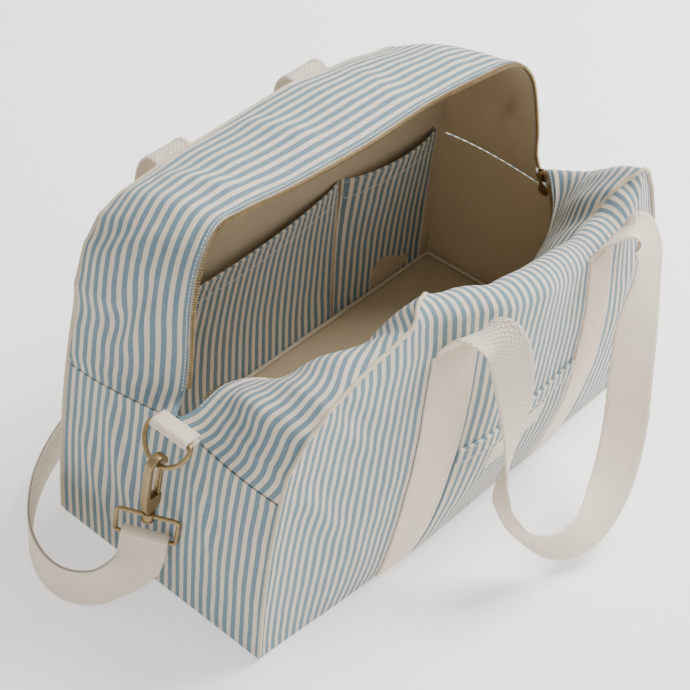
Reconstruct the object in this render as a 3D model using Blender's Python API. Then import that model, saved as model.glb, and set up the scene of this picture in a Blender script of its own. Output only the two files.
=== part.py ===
"""Open canvas weekender bag, slumped as it stands on a floor, with webbing handles and a clip-on strap.

Metres, +Z up. The origin is the middle of the base's underside. X runs along the bag, -Y is the front
with the slip pocket, and each sewn seam is a curve that the panels on both of its sides stop at.
"""
import math

import bmesh
import bpy
import numpy as np
from mathutils import Matrix, Vector

# ---- overall sizes ----
LENGTH = 0.466
DEPTH = 0.225
BACK_HEIGHT = 0.317
RIM_HEIGHT = 0.248
END_HEIGHT = 0.166
RIGHT_END_DROP = 0.016

# ---- cloth ----
CANVAS = 0.0011
LINING = 0.0005
TAPE = 0.0005
BOARD = 0.0025
LAYER_GAP = 0.0005
SEAM_MARGIN = 0.0038
BINDING_RADIUS = 0.0021
BINDING_FOOT = 0.008
BELLY = 0.018
RIM_RADIUS = 0.017
UPRIGHT_SHARE = 0.68
RIM_DROP = 0.032
TUCK = 0.060
BACK_SAG = 0.045
FRONT_BOW = 0.0100
RIM_BULGE = 0.028
LEFT_LEAN = 0.014
RIGHT_FLARE = 0.014
DRIFT = 0.045
STRIP_CREST = 0.020
CROWDING = 0.65
END_SWELL = 0.0015

# ---- pockets ----
POCKET_HEIGHT = 0.165
POCKET_GAPE = 0.016
POCKET_SPLIT = 0.095
SLIP_WIDTH = 0.150
SLIP_HEIGHT = 0.118
SLIP_CENTRE = 0.004
LABEL_WIDTH = 0.072
LABEL_HEIGHT = 0.020
LABEL_FOOT = 0.080
LABEL = 0.0007

# ---- zip ----
TEETH_WIDTH = 0.0042
TEETH_HEIGHT = 0.0026
TEETH_END = 0.027
TAPE_WIDTH = 0.012
ZIP_SHY = 0.0038
SLIDER_LENGTH = 0.013
SLIDER_WIDTH = 0.0095
SLIDER_GAP = 0.0030
SLIDER_PLATE = 0.0014
PULL_LENGTH = 0.020

# ---- webbing ----
WEB_WIDTH = 0.038
WEB = 0.0018
STRAP_THICKNESS = 0.0034
NEAR_STRAP = -0.092
FAR_STRAP = 0.100
SEWN_TOP = 0.214
BACK_SEWN_TOP = 0.266
BACK_NEAR_STRAP = -0.105
BACK_FAR_STRAP = 0.062
BACK_LOOP_DROP = 0.185

# ---- metal ----
WIRE_RADIUS = 0.0020
RING_SPARE = 0.006
RING_WIDTH = WEB_WIDTH + RING_SPARE
RING_SIDE = 0.003
RING_OUT = 36.0
TAB_REACH = 0.0125
TAB_ROOT = 0.0040
TAB_SHIFT = np.array([0.0, -0.009, 0.001])
EYE_RADIUS = 0.0050
HOOK_WALL = 0.0044
HOOK_LENGTH = 0.058
HOOK_THICKNESS = 0.0070
GATE_LENGTH = 0.0335
GATE_THICKNESS = 0.0030
STEM_RADIUS = 0.0019
STEM_LENGTH = 0.0115
COLLAR_RADIUS = 0.0048
RIVET_HEIGHT = 0.0018
RIVET_LIP = 0.0014
LOOP_SPARE = 0.011
LOOP_WIDTH = WEB_WIDTH + LOOP_SPARE
LOOP_HEIGHT = 0.028
LOOP_SOFT = 0.004
LOOP_WIRE = 0.0018
LOOP_TURN = 31.0
ADJUSTER_PLACE = 0.50
ADJUSTER_LENGTH = 0.022
FIT = 0.0004
CLEAR = 0.0003
SLACK = 0.0018
WRAP_STEPS = 10

HALF = LENGTH / 2
SIDE = DEPTH / 2

CANVAS_BLUE = (0.33, 0.47, 0.56, 1.0)
LINING_TAN = (0.62, 0.53, 0.38, 1.0)
WEB_CREAM = (0.80, 0.73, 0.62, 1.0)
BRASS = (0.42, 0.30, 0.12, 1.0)
BOARD_GREY = (0.30, 0.28, 0.25, 1.0)


# ---------------------------------------------------------------- curves
def knots(stations, x):
    """Smooth value at x through hand-set (x, value) stations."""
    xs = [s[0] for s in stations]
    if x <= xs[0]:
        return stations[0][1]
    if x >= xs[-1]:
        return stations[-1][1]
    i = max(k for k in range(len(xs) - 1) if xs[k] <= x)
    a = (x - xs[i]) / (xs[i + 1] - xs[i])
    a = a * a * (3 - 2 * a) * 0.5 + a * 0.5
    return stations[i][1] * (1 - a) + stations[i + 1][1] * a


class Path:
    """A smooth line through points, read by its share of arc length."""

    def __init__(self, points, fine=12):
        p = np.array(points, float)
        ends = np.vstack([2 * p[0] - p[1], p, 2 * p[-1] - p[-2]])
        dense = []
        for i in range(len(p) - 1):
            a, b, c, d = ends[i], ends[i + 1], ends[i + 2], ends[i + 3]
            for k in range(fine):
                t = k / fine
                dense.append(0.5 * (2 * b + (c - a) * t + (2 * a - 5 * b + 4 * c - d) * t ** 2
                                    + (3 * b - a - 3 * c + d) * t ** 3))
        dense.append(p[-1])
        self.points = np.array(dense)
        steps = np.linalg.norm(np.diff(self.points, axis=0), axis=1)
        self.reach = np.concatenate([[0.0], np.cumsum(steps)])
        self.length = self.reach[-1]

    def at(self, q):
        d = min(max(q, 0.0), 1.0) * self.length
        return np.array([np.interp(d, self.reach, self.points[:, k]) for k in range(3)])

    def tangent(self, q):
        e = 0.006
        step = self.at(q + e) - self.at(q - e)
        return step / np.linalg.norm(step)


def unit(v):
    v = np.array(v, float)
    return v / np.linalg.norm(v)


# ---------------------------------------------------------------- panels
def column(u):
    """Place along the bag of a panel's upright column, closer together at the rounded corners."""
    return HALF * (CROWDING * -math.cos(math.pi * u) + (1 - CROWDING) * (2 * u - 1))


def column_at(s):
    """The panel coordinate u of the column at s."""
    low, high = 0.0, 1.0
    for _ in range(40):
        middle = (low + high) / 2
        if column(middle) < s:
            low = middle
        else:
            high = middle
    return (low + high) / 2


def share(s):
    return s / HALF


def front_top(s):
    """Length of front panel cloth above the floor at a column."""
    shape = [(-1.0, -0.055), (-0.95, -0.031), (-0.88, -0.017), (-0.78, -0.010), (-0.68, -0.005),
             (-0.58, 0.002), (-0.48, 0.020), (-0.34, 0.7 * TUCK), (-0.16, TUCK), (0.20, 0.9 * TUCK),
             (0.42, 0.30 * TUCK),
             (0.60, 0.1 * -RIM_DROP), (0.76, 0.1 * -RIM_DROP), (0.90, 0.0), (0.96, -0.008), (1.0, -0.030)]
    return RIM_HEIGHT + knots(shape, share(s))


def rim_height(s):
    """Height of the crease that the front cloth folds over."""
    shape = [(-1.0, 0.034), (-0.66, 0.024), (-0.50, 0.012), (-0.34, 0.003), (-0.13, -0.007),
             (0.24, 0.75 * -RIM_DROP), (0.43, -RIM_DROP), (0.61, -RIM_DROP), (0.76, 0.4 * -RIM_DROP),
             (0.90, 0.006), (1.0, 0.014)]
    return RIM_HEIGHT + knots(shape, share(s))


def left_seam_x(h, front):
    lean = LEFT_LEAN if front else LEFT_LEAN * 0.55
    return -HALF + lean * (min(h, 1.35 * END_HEIGHT) / END_HEIGHT) ** 2.4


def right_seam_x(h, front):
    flare = RIGHT_FLARE * (1.0 if front else 0.3)
    top = max(0.0, h - 0.9 * END_HEIGHT)
    return HALF + flare * math.sin(math.pi * min(1.0, 0.35 + h / (2.6 * END_HEIGHT))) - 0.14 * top


def front_wall(s):
    """How far out the front cloth's foot and rim stand at a column, and its wall's rise and length."""
    foot = -SIDE - FRONT_BOW * knots([(-1.0, 0.0), (-0.5, 0.75), (-0.25, 1.0), (1.0, 1.0)], share(s))
    rim = -SIDE - RIM_BULGE * knots([(-1.0, 0.0), (-0.7, -0.16), (-0.52, 0.0), (-0.34, 0.5), (-0.18, 0.95),
                                     (0.0, 1.0), (0.3, 0.8), (0.6, 0.65), (0.8, 0.35), (1.0, 0.0)], share(s))
    rise = rim_height(s) - RIM_RADIUS
    return foot, rim, rise, math.hypot(rise, rim - foot)


def front_panel(u, v):
    """The front cloth: up a bellied wall, over the rim, then down inside the bag."""
    s = column(u)
    length = front_top(s)
    top = rim_height(s)
    foot, rim, rise, wall = front_wall(s)
    swelling = [(-1.0, 0.0), (-0.6, 0.6), (-0.2, 1.0), (0.3, 0.8), (0.7, 0.7), (1.0, 0.25)]
    belly = BELLY * knots(swelling, share(s))
    upright = min(wall, 0.86 * length)
    t = upright * v / UPRIGHT_SHARE
    if v > UPRIGHT_SHARE:
        t = upright + (length - upright) * (v - UPRIGHT_SHARE) / (1 - UPRIGHT_SHARE)
    if t < wall:
        a = t / wall
        y = foot + (rim - foot) * a ** 1.3 - belly * math.sin(math.pi * a ** 0.8)
        z = rise * a
    elif t < wall + math.pi * RIM_RADIUS:
        turn = (t - wall) / RIM_RADIUS
        y = rim + RIM_RADIUS * (1 - math.cos(turn))
        z = rise + RIM_RADIUS * math.sin(turn)
    else:
        rest = t - wall - math.pi * RIM_RADIUS
        y = rim + 2 * RIM_RADIUS + 0.22 * rest
        z = rise - rest
    f = (s + HALF) / LENGTH
    h = min(z, top)
    x = (1 - f) * left_seam_x(h, True) + f * right_seam_x(h, True)
    return np.array([x + DRIFT * (h / RIM_HEIGHT) * (1 - share(s) ** 2), y, z])


def front_share(s, height):
    """The panel coordinate v of a place that far up the cloth at a column."""
    length = front_top(s)
    upright = min(front_wall(s)[3], 0.86 * length)
    if height <= upright:
        return UPRIGHT_SHARE * height / upright
    return UPRIGHT_SHARE + (1 - UPRIGHT_SHARE) * (height - upright) / (length - upright)


def back_share(s, height):
    return height / back_top(s)


def back_top(s):
    shape = [(-1.0, -0.072), (-0.95, -0.037), (-0.88, -0.018), (-0.78, -0.009), (-0.5, -0.003),
             (0.05, 0.0), (0.35, 0.25 * -BACK_SAG), (0.62, 0.55 * -BACK_SAG), (0.80, -BACK_SAG),
             (0.92, -0.025 - BACK_SAG), (1.0, -0.060 - BACK_SAG)]
    return BACK_HEIGHT + knots(shape, share(s))


def back_panel(u, v):
    s = column(u)
    z = v * back_top(s)
    a = z / BACK_HEIGHT
    y = SIDE - 0.0125 * a ** 1.5 + 0.5 * BELLY * math.sin(math.pi * a) * (1 - share(s) ** 4)
    f = (s + HALF) / LENGTH
    return np.array([(1 - f) * left_seam_x(z, False) + f * right_seam_x(z, False), y, z])


def end_height(side):
    """Height of an end seam where it meets the panels."""
    return END_HEIGHT if side < 0 else END_HEIGHT - RIGHT_END_DROP


def arch(panel, top, place):
    """The seam from one end seam over the top of a panel to the other end seam."""
    rise = [(top(side * HALF) - end_height(side)) / 9 for side in (-1, 1)]
    points = [panel(0.0, place(-HALF, end_height(-1) + rise[0] * k)) for k in range(9)]
    points += [panel(k / 120, 1.0) for k in range(121)]
    points += [panel(1.0, place(HALF, top(HALF) - rise[1] * k)) for k in range(1, 10)]
    return Path(points, 1)


def end_point(side):
    """Where both strips meet the middle of an end seam."""
    if side < 0:
        return np.array([-HALF + 0.8 * LEFT_LEAN, -0.006, END_HEIGHT + 0.015])
    return np.array([HALF + 0.9 * RIGHT_FLARE, -0.004, end_height(1) - 0.005])


def zip_edges():
    """The two teeth lines: the back one stands up in an arch, the front one drops into the bag."""
    left, right = end_point(-1), end_point(1)
    top = BACK_HEIGHT + 0.003
    low = END_HEIGHT
    half = np.array([0, 0.0006, 0])
    back = [left + half, (-HALF + 0.029, -0.0015, low + 0.022), (-HALF + 0.036, 0.001, low + 0.052),
            (-HALF + 0.039, 0.002, low + 0.104), (-HALF + 0.050, 0.005, top - 0.016),
            (-HALF + 0.072, 0.010, top + 0.003), (-HALF + 0.100, 0.011, top + 0.002),
            (-0.34 * HALF, 0.010, top - 0.004), (0.0, 0.006, top - 0.004), (0.3 * HALF, 0.004, top),
            (HALF - 0.105, 0.001, top - 0.002), (HALF - 0.061, 0.0, top - 0.009),
            (HALF - 0.037, 0.0, top - 0.028), (HALF - 0.022, 0.0, top - 0.056),
            (HALF - 0.008, 0.0, low + 0.048), (HALF - 0.003, 0.0, low + 0.018), right + half]
    front = [left - half, (-HALF + 0.031, -0.0105, low + 0.022), (-HALF + 0.052, -0.014, low + 0.030),
             (-HALF + 0.073, -0.023, low + 0.028), (-HALF + 0.089, -0.034, low + 0.018),
             (-HALF + 0.113, -0.044, low - 0.008), (-HALF + 0.153, -0.047, low - 0.050),
             (-0.1 * HALF, -0.044, low - 0.082), (0.25 * HALF, -0.044, low - 0.090),
             (HALF - 0.105, -0.048, low - 0.068), (HALF - 0.058, -0.052, low - 0.028),
             (HALF - 0.035, -0.042, low - 0.006), (HALF - 0.018, -0.024, low + 0.006),
             (HALF - 0.005, -0.0085, low + 0.010), right - half]
    return Path(back), Path(front)


BACK_SEAM = arch(back_panel, back_top, back_share)
FRONT_SEAM = arch(front_panel, front_top, front_share)
BACK_ZIP, FRONT_ZIP = zip_edges()


def strip(seam, edge, crest, lift):
    """Surface between a panel's seam (v=0) and its teeth line (v=1), crowned by crest(q) towards lift(q)."""

    def surface(q, v):
        a, b = seam.at(q), edge.at(q)
        across = unit(b - a)
        up = lift(q)
        up = unit(up - across * up.dot(across))
        return a + (b - a) * v + up * crest(q) * math.sin(math.pi * v ** 0.8)

    return surface


def blend_of(stations, q):
    """A direction at q between hand-set (q, direction) stations."""
    return np.array([knots([(s[0], s[1][k]) for s in stations], q) for k in range(3)])


def back_crest(q):
    return knots([(0.0, 0.004), (0.15, 0.010), (0.5, 0.008), (0.85, 0.010), (1.0, 0.004)], q)


def back_lift(q):
    return blend_of([(0.0, (-1.0, 0.0, 0.1)), (0.14, (-0.9, 0.0, 0.4)), (0.26, (0.0, 0.0, 1.0)),
                     (0.74, (0.0, 0.0, 1.0)), (0.88, (0.9, 0.0, 0.4)), (1.0, (1.0, 0.0, 0.1))], q)


def front_crest(q):
    share_of = [(0.0, 0.2), (0.10, 0.6), (0.20, 1.1), (0.28, 0.8), (0.38, 0.4), (0.55, 0.3), (0.70, 0.4),
                (0.80, 0.7), (0.90, 0.9), (1.0, 0.2)]
    return STRIP_CREST * knots(share_of, q)


def front_lift(q):
    return blend_of([(0.0, (-1.0, 0.0, 0.2)), (0.10, (-0.5, 0.0, 0.85)), (0.20, (0.0, 0.2, 1.0)),
                     (0.42, (0.0, 1.0, 0.4)), (0.65, (0.0, 1.0, 0.4)), (0.80, (0.0, 0.5, 0.9)),
                     (0.90, (0.4, 0.1, 0.9)), (1.0, (1.0, 0.0, 0.1))], q)


BACK_STRIP = strip(BACK_SEAM, BACK_ZIP, back_crest, back_lift)
FRONT_STRIP = strip(FRONT_SEAM, FRONT_ZIP, front_crest, front_lift)


def end_panel(side):
    """Coons patch inside the floor edge, the two upright seams and the end seam; w runs back to front."""
    q = 0.0 if side < 0 else 1.0
    u = 0.0 if side < 0 else 1.0

    def upper(w):
        return BACK_STRIP(q, 2 * w) if w < 0.5 else FRONT_STRIP(q, 2 - 2 * w)

    def back(v):
        return back_panel(u, back_share(side * HALF, v * end_height(side)))

    def front(v):
        return front_panel(u, front_share(side * HALF, v * end_height(side)))

    def surface(w, v):
        floor = back(0) * (1 - w) + front(0) * w
        mix = (1 - v) * floor + v * upper(w) + (1 - w) * back(v) + w * front(v)
        corners = ((1 - w) * (1 - v) * back(0) + w * (1 - v) * front(0)
                   + (1 - w) * v * upper(0.0) + w * v * upper(1.0))
        swell = END_SWELL * math.sin(math.pi * v) * math.sin(math.pi * w)
        return mix - corners + np.array([side * swell, 0, 0])

    return surface


# ---------------------------------------------------------------- solids
def material(name, colour, rough, metal):
    found = bpy.data.materials.get(name)
    if found:
        return found
    made = bpy.data.materials.new(name)
    made.use_nodes = True
    shader = made.node_tree.nodes["Principled BSDF"]
    shader.inputs["Base Color"].default_value = colour
    shader.inputs["Roughness"].default_value = rough
    shader.inputs["Metallic"].default_value = metal
    return made


FINISH = {"canvas": (CANVAS_BLUE, 0.9, 0.0), "lining": (LINING_TAN, 0.85, 0.0),
          "webbing": (WEB_CREAM, 0.95, 0.0), "brass": (BRASS, 0.32, 1.0), "board": (BOARD_GREY, 0.8, 0.0)}


def solid(name, verts, faces, finish, smooth=35.0):
    """A named object from points and faces, its faces turned outwards."""
    mesh = bpy.data.meshes.new(name)
    mesh.from_pydata([tuple(float(c) for c in v) for v in verts], [], faces)
    bm = bmesh.new()
    bm.from_mesh(mesh)
    bmesh.ops.recalc_face_normals(bm, faces=bm.faces)
    if bm.calc_volume(signed=True) < 0:
        bmesh.ops.reverse_faces(bm, faces=bm.faces)
    bm.to_mesh(mesh)
    bm.free()
    mesh.shade_smooth()
    mesh.set_sharp_from_angle(angle=math.radians(smooth))
    made = bpy.data.objects.new(name, mesh)
    bpy.context.scene.collection.objects.link(made)
    mesh.materials.append(material(finish, *FINISH[finish]))
    return made


def lines(low, high, count):
    """Evenly spaced values from low to high."""
    return [low + (high - low) * k / count for k in range(count + 1)]


def shell(name, surface, outward, depths, us, vs, finish):
    """Cloth of a surface between two depths under it (outside positive).

    us are the mesh's u stations and vs(u) gives the v lines that cross each of them.
    """
    rows = []
    nu, nv = len(us) - 1, len(vs(us[0])) - 1
    for u in us:
        for v in vs(u):
            e = 0.004
            du = surface(min(u + e, 1), v) - surface(max(u - e, 0), v)
            dv = surface(u, min(v + e, 1)) - surface(u, max(v - e, 0))
            normal = unit(np.cross(du, dv)) * outward
            point = surface(u, v)
            rows.append((point + normal * depths[0], point + normal * depths[1]))
    count = len(rows)
    verts = [r[0] for r in rows] + [r[1] for r in rows]

    def at(i, j, layer):
        return layer * count + i * (nv + 1) + j

    faces = []
    for i in range(nu):
        for j in range(nv):
            faces.append((at(i, j, 0), at(i + 1, j, 0), at(i + 1, j + 1, 0), at(i, j + 1, 0)))
            faces.append((at(i, j, 1), at(i, j + 1, 1), at(i + 1, j + 1, 1), at(i + 1, j, 1)))
    for i in range(nu):
        for j in (0, nv):
            faces.append((at(i, j, 0), at(i + 1, j, 0), at(i + 1, j, 1), at(i, j, 1)))
    for j in range(nv):
        for i in (0, nu):
            faces.append((at(i, j, 0), at(i, j + 1, 0), at(i, j + 1, 1), at(i, j, 1)))
    return solid(name, verts, faces, finish)


def sweep(name, centres, across, over, profile, finish, closed=False):
    """A profile of (across, over) pairs carried along centres."""
    verts = []
    for c, a, o in zip(centres, across, over):
        for x, y in profile:
            verts.append(c + a * x + o * y)
    n, m = len(centres), len(profile)
    faces = []
    for i in range(n if closed else n - 1):
        k = (i + 1) % n
        for j in range(m):
            l = (j + 1) % m
            faces.append((i * m + j, k * m + j, k * m + l, i * m + l))
    if not closed:
        faces.append(tuple(range(m)))
        faces.append(tuple(range((n - 1) * m, n * m)))
    return solid(name, verts, faces, finish)


def frames(points, closed=False):
    """Tangents and steady side directions along a line of points."""
    p = np.array(points)
    n = len(p)
    if closed:
        tangents = [unit(p[(i + 1) % n] - p[i - 1]) for i in range(n)]
    else:
        tangents = [unit(p[min(i + 1, n - 1)] - p[max(i - 1, 0)]) for i in range(n)]
    seed = np.array([0.31, 0.87, 0.39])
    sides = []
    for t in tangents:
        seed = unit(seed - t * seed.dot(t))
        sides.append(seed)
    if closed:
        last = unit(sides[-1] - tangents[0] * sides[-1].dot(tangents[0]))
        twist = math.atan2(np.cross(last, sides[0]).dot(tangents[0]), last.dot(sides[0]))
        for i in range(n):
            spin = Matrix.Rotation(twist * i / n, 3, Vector(tangents[i]))
            sides[i] = np.array(spin @ Vector(sides[i]))
    return tangents, sides


def tube(name, points, radius, count, finish, closed=False):
    tangents, sides = frames(points, closed)
    over = [np.cross(t, s) for t, s in zip(tangents, sides)]
    ring = [(radius * math.cos(2 * math.pi * k / count), radius * math.sin(2 * math.pi * k / count))
            for k in range(count)]
    return sweep(name, np.array(points), sides, over, ring, finish, closed)


def band(name, points, widths, width, thickness, pieces, finish):
    """Flat webbing along a path, with its width direction at each of the path's points."""
    path = Path(points)
    knot_reach = path.reach[::12]
    centres, across, over = [], [], []
    for k in range(pieces + 1):
        q = k / pieces
        t = path.tangent(q)
        index = np.interp(q * path.length, knot_reach, range(len(widths)))
        low = min(int(index), len(widths) - 2)
        w = np.array(widths[low]) * (1 - index + low) + np.array(widths[low + 1]) * (index - low)
        w = unit(w - t * w.dot(t))
        centres.append(path.at(q))
        across.append(w)
        over.append(np.cross(t, w))
    x, y = width / 2, thickness / 2
    return sweep(name, centres, across, over, [(-x, -y), (x, -y), (x, y), (-x, y)], finish)


def plate(name, outline, thickness, place, finish):
    """A flat outline in (a, h) extruded evenly about its plane; place is a 4x4 of axes a, n, h."""
    verts = []
    for side in (-0.5, 0.5):
        for a, h in outline:
            verts.append(place @ np.array([a, side * thickness, h, 1.0]))
    n = len(outline)
    faces = [tuple(range(n)), tuple(range(n, 2 * n))]
    faces += [(i, (i + 1) % n, n + (i + 1) % n, n + i) for i in range(n)]
    return solid(name, [v[:3] for v in verts], faces, finish)


def cylinder(name, start, end, radius, count, finish):
    return tube(name, [np.array(start), np.array(end)], radius, count, finish)


def combine(target, tool, how):
    """Join or cut the target with a tool piece, which is then removed."""
    step = target.modifiers.new(how.lower(), "BOOLEAN")
    step.operation = how
    step.solver = "EXACT"
    step.object = tool
    bpy.context.view_layer.update()
    shape = bpy.data.meshes.new_from_object(target.evaluated_get(bpy.context.evaluated_depsgraph_get()))
    target.modifiers.clear()
    old = target.data
    target.data = shape
    bpy.data.meshes.remove(old)
    bpy.data.objects.remove(tool)
    return target


# ---------------------------------------------------------------- cloth shell
CANVAS_DEPTHS = (0.0, -CANVAS)
LINING_DEPTHS = (-CANVAS - LAYER_GAP, -CANVAS - LAYER_GAP - LINING)
TAPE_DEPTHS = (-CANVAS - LAYER_GAP, -CANVAS - LAYER_GAP - TAPE)
STRIP_LINING_DEPTHS = (TAPE_DEPTHS[1] - LAYER_GAP, TAPE_DEPTHS[1] - LAYER_GAP - LINING)


def on_axis(name, point):
    """Puts a moving piece's origin at a point on its joint's axis, its shape staying where it is."""
    piece = bpy.data.objects[name]
    piece.data.transform(Matrix.Translation(-Vector(point)))
    piece.location = Vector(point)


def panel_lines(top, place, low, count):
    """v lines from a height low on the cloth to a margin, measured square, from the arched seam."""

    def limits(u):
        s = column(u)
        step = 0.001
        slope = (top(min(s + step, HALF)) - top(max(s - step, -HALF))) / (2 * step)
        margin = SEAM_MARGIN * min(math.hypot(1, slope), 2.6)
        found = lines(place(s, SEAM_MARGIN), place(s, top(s) - margin), count)
        return [place(s, low)] + found[1:]

    return limits


def build_panels():
    us = (column_at(-HALF + SEAM_MARGIN), column_at(HALF - SEAM_MARGIN))
    sides = (("front", front_panel, front_top, front_share, 1, 22, 12),
             ("back", back_panel, back_top, back_share, -1, 18, 6))
    for name, surface, top, place, outward, nu, nv in sides:
        columns = lines(*us, nu)
        shell(name + "_panel", surface, outward, CANVAS_DEPTHS, columns,
              panel_lines(top, place, SEAM_MARGIN, nv), "canvas")
        shell(name + "_lining", surface, outward, LINING_DEPTHS, columns,
              panel_lines(top, place, SEAM_MARGIN + BOARD, nv), "lining")
    for name, side in (("left", -1), ("right", 1)):
        edge = SEAM_MARGIN / DEPTH
        columns = lines(edge, 1 - edge, 10)
        low = LAYER_GAP / END_HEIGHT
        high = 1 - SEAM_MARGIN / END_HEIGHT
        above = (CANVAS + BOARD + LINING + 4 * LAYER_GAP) / END_HEIGHT
        shell(name + "_end_panel", end_panel(side), -side, CANVAS_DEPTHS, columns,
              lambda u: lines(low, high, 6), "canvas")
        shell(name + "_end_lining", end_panel(side), -side, LINING_DEPTHS, columns,
              lambda u: lines(above, high, 6), "lining")


def strip_width(surface, q):
    points = [surface(q, k / 8) for k in range(9)]
    return sum(np.linalg.norm(points[k + 1] - points[k]) for k in range(8))


def build_strips():
    """Canvas, lining, tape and teeth of each half of the top; all four share their stations along it."""
    halves = (("back", BACK_STRIP, -1, BACK_ZIP), ("front", FRONT_STRIP, 1, FRONT_ZIP))
    for name, surface, outward, edge in halves:
        end, reach = SEAM_MARGIN / edge.length, TEETH_END / edge.length
        below_slider = reach - (SLIDER_LENGTH + 4 * FIT) / edge.length
        chain = lines(reach, 1 - reach, 36)
        stations = [end] + chain + [1 - below_slider, 1 - end]

        def near_teeth(q, distance, s=surface):
            return 1 - distance / strip_width(s, q)

        def cloth_edge(q, s=surface, row=stations):
            shy = ZIP_SHY
            if q in (row[-3], row[-2]):
                shy = SLIDER_WIDTH / 2 + 2 * FIT
            elif q in (row[0], row[-1]):
                shy = CLEAR
            return near_teeth(q, shy, s)

        def cloth(q, s=surface, free_edge=cloth_edge):
            low = SEAM_MARGIN / strip_width(s, q)
            return lines(low, near_teeth(q, ZIP_SHY + TAPE_WIDTH, s), 5) + [free_edge(q)]

        def tape(q, s=surface, free_edge=cloth_edge):
            sewn = near_teeth(q, ZIP_SHY + TAPE_WIDTH, s)
            return [sewn, free_edge(q), near_teeth(q, TEETH_WIDTH / 2 + CLEAR, s)]

        def teeth(q, s=surface):
            return [near_teeth(q, TEETH_WIDTH / 2, s), 1.0]

        half = TEETH_HEIGHT / 2
        shell(name + "_zip_strip", surface, outward, CANVAS_DEPTHS, stations, cloth, "canvas")
        shell(name + "_strip_lining", surface, outward, STRIP_LINING_DEPTHS, stations, cloth, "lining")
        shell("zip_tape_" + name, surface, outward, TAPE_DEPTHS, chain, tape, "webbing")
        shell("zip_teeth_" + name, surface, outward, (half - CANVAS, -half - CANVAS), chain, teeth, "brass")


def floor_outline(inset):
    """Corners of the base in order, its front edge bowed."""
    points = []
    count = 16
    for k in range(count + 1):
        p = front_panel(k / count, 0.0)
        points.append([p[0], p[1] + inset])
    for k in range(count + 1):
        p = back_panel(1 - k / count, 0.0)
        points.append([p[0], p[1] - inset])
    xs = [p[0] for p in points]
    low, high = min(xs[:count + 1]) + inset, max(xs) - inset
    slant = (points[count][0] - points[count + 1][0]) / DEPTH
    result = []
    for x, y in points:
        right = high - slant * (y - points[count][1])
        result.append([min(max(x, low), right), y])
    tidy = [result[0]]
    for p in result[1:]:
        if math.dist(p, tidy[-1]) > 0.0012:
            tidy.append(p)
    return tidy


def build_base():
    lying = np.array([[1, 0, 0, 0], [0, 0, 1, 0], [0, 1, 0, 0], [0, 0, 0, 1]], float)
    layers = (("base_panel", SEAM_MARGIN, 0.0, CANVAS, "canvas"),
              ("base_board", SEAM_MARGIN + 0.003, CANVAS + LAYER_GAP, BOARD, "board"),
              ("base_lining", SEAM_MARGIN, CANVAS + BOARD + 2 * LAYER_GAP, LINING, "lining"))
    for name, inset, low, thick, finish in layers:
        place = lying.copy()
        place[2, 3] = low + thick / 2
        plate(name, floor_outline(inset), thick, place, finish)


def build_bindings():
    """Bound seam allowances up one side of the front and the back panel, over its arch and down the other."""
    for name, surface, place, seam in (("front", front_panel, front_share, FRONT_SEAM),
                                       ("back", back_panel, back_share, BACK_SEAM)):
        heights = [BINDING_FOOT] + [0.21 * END_HEIGHT * k for k in (1, 2, 3, 4)]
        left = [surface(0.0, place(-HALF, h)) for h in heights]
        right = [surface(1.0, place(HALF, h)) for h in reversed(heights)]
        over = [seam.at(k / 56) for k in range(57)]
        tube(name + "_seam_binding", left + over + right, BINDING_RADIUS, 6, "lining")


# ---------------------------------------------------------------- pockets
def build_slip_pocket():
    def patch(u, v):
        s = SLIP_CENTRE + SLIP_WIDTH * (u - 0.5)
        return front_panel(column_at(s), front_share(s, v * SLIP_HEIGHT))

    foot = 1.6 * SEAM_MARGIN / SLIP_HEIGHT
    shell("front_slip_pocket", patch, 1, (CLEAR + CANVAS, CLEAR), lines(0.0, 1.0, 8),
          lambda u: lines(foot, 1.0, 6), "canvas")

    across = 0.5 * LABEL_WIDTH / SLIP_WIDTH
    foot, head = LABEL_FOOT / SLIP_HEIGHT, (LABEL_FOOT + LABEL_HEIGHT) / SLIP_HEIGHT
    low = 2 * CLEAR + CANVAS
    shell("blank_label", patch, 1, (low + LABEL, low), lines(0.5 - across, 0.5 + across, 4),
          lambda u: lines(foot, head, 2), "webbing")


def inner_pocket(name, s_low, s_high, gape, height=POCKET_HEIGHT):
    """A patch sewn inside the back wall, its mouth standing off by gape."""
    depth = CANVAS + LAYER_GAP + LINING + 2 * CLEAR

    def patch(u, v):
        s = s_low + (s_high - s_low) * u
        place = column_at(s)
        point = back_panel(place, back_share(s, v * height))
        off = depth + gape * v ** 2 * math.sin(math.pi * u) ** 0.6
        return point + np.array([0, -off, 0])

    foot = (CANVAS + BOARD + LINING + 5 * LAYER_GAP) / height
    shell(name, patch, -1, CANVAS_DEPTHS, lines(0.0, 1.0, 10), lambda u: lines(foot, 1.0, 6), "canvas")


def build_inner_pockets():
    inner_pocket("back_inner_pocket_left", -HALF + 0.030, POCKET_SPLIT - 0.002, POCKET_GAPE)
    inner_pocket("back_inner_pocket_right", POCKET_SPLIT + 0.002, HALF - 0.014, POCKET_GAPE)
    depth = CANVAS + LAYER_GAP + LINING + 2 * CLEAR
    wall = end_panel(-1)

    def patch(w, v):
        point = wall(0.16 + 0.60 * w, v)
        off = depth + 1.6 * POCKET_GAPE * v ** 2 * math.sin(math.pi * w) ** 0.6
        return point + np.array([off, 0, 0])

    foot = (CANVAS + BOARD + LINING + 5 * LAYER_GAP) / END_HEIGHT
    shell("left_inner_pocket", patch, 1, CANVAS_DEPTHS, lines(0.0, 1.0, 8), lambda u: lines(foot, 0.9, 6),
          "canvas")


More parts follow.
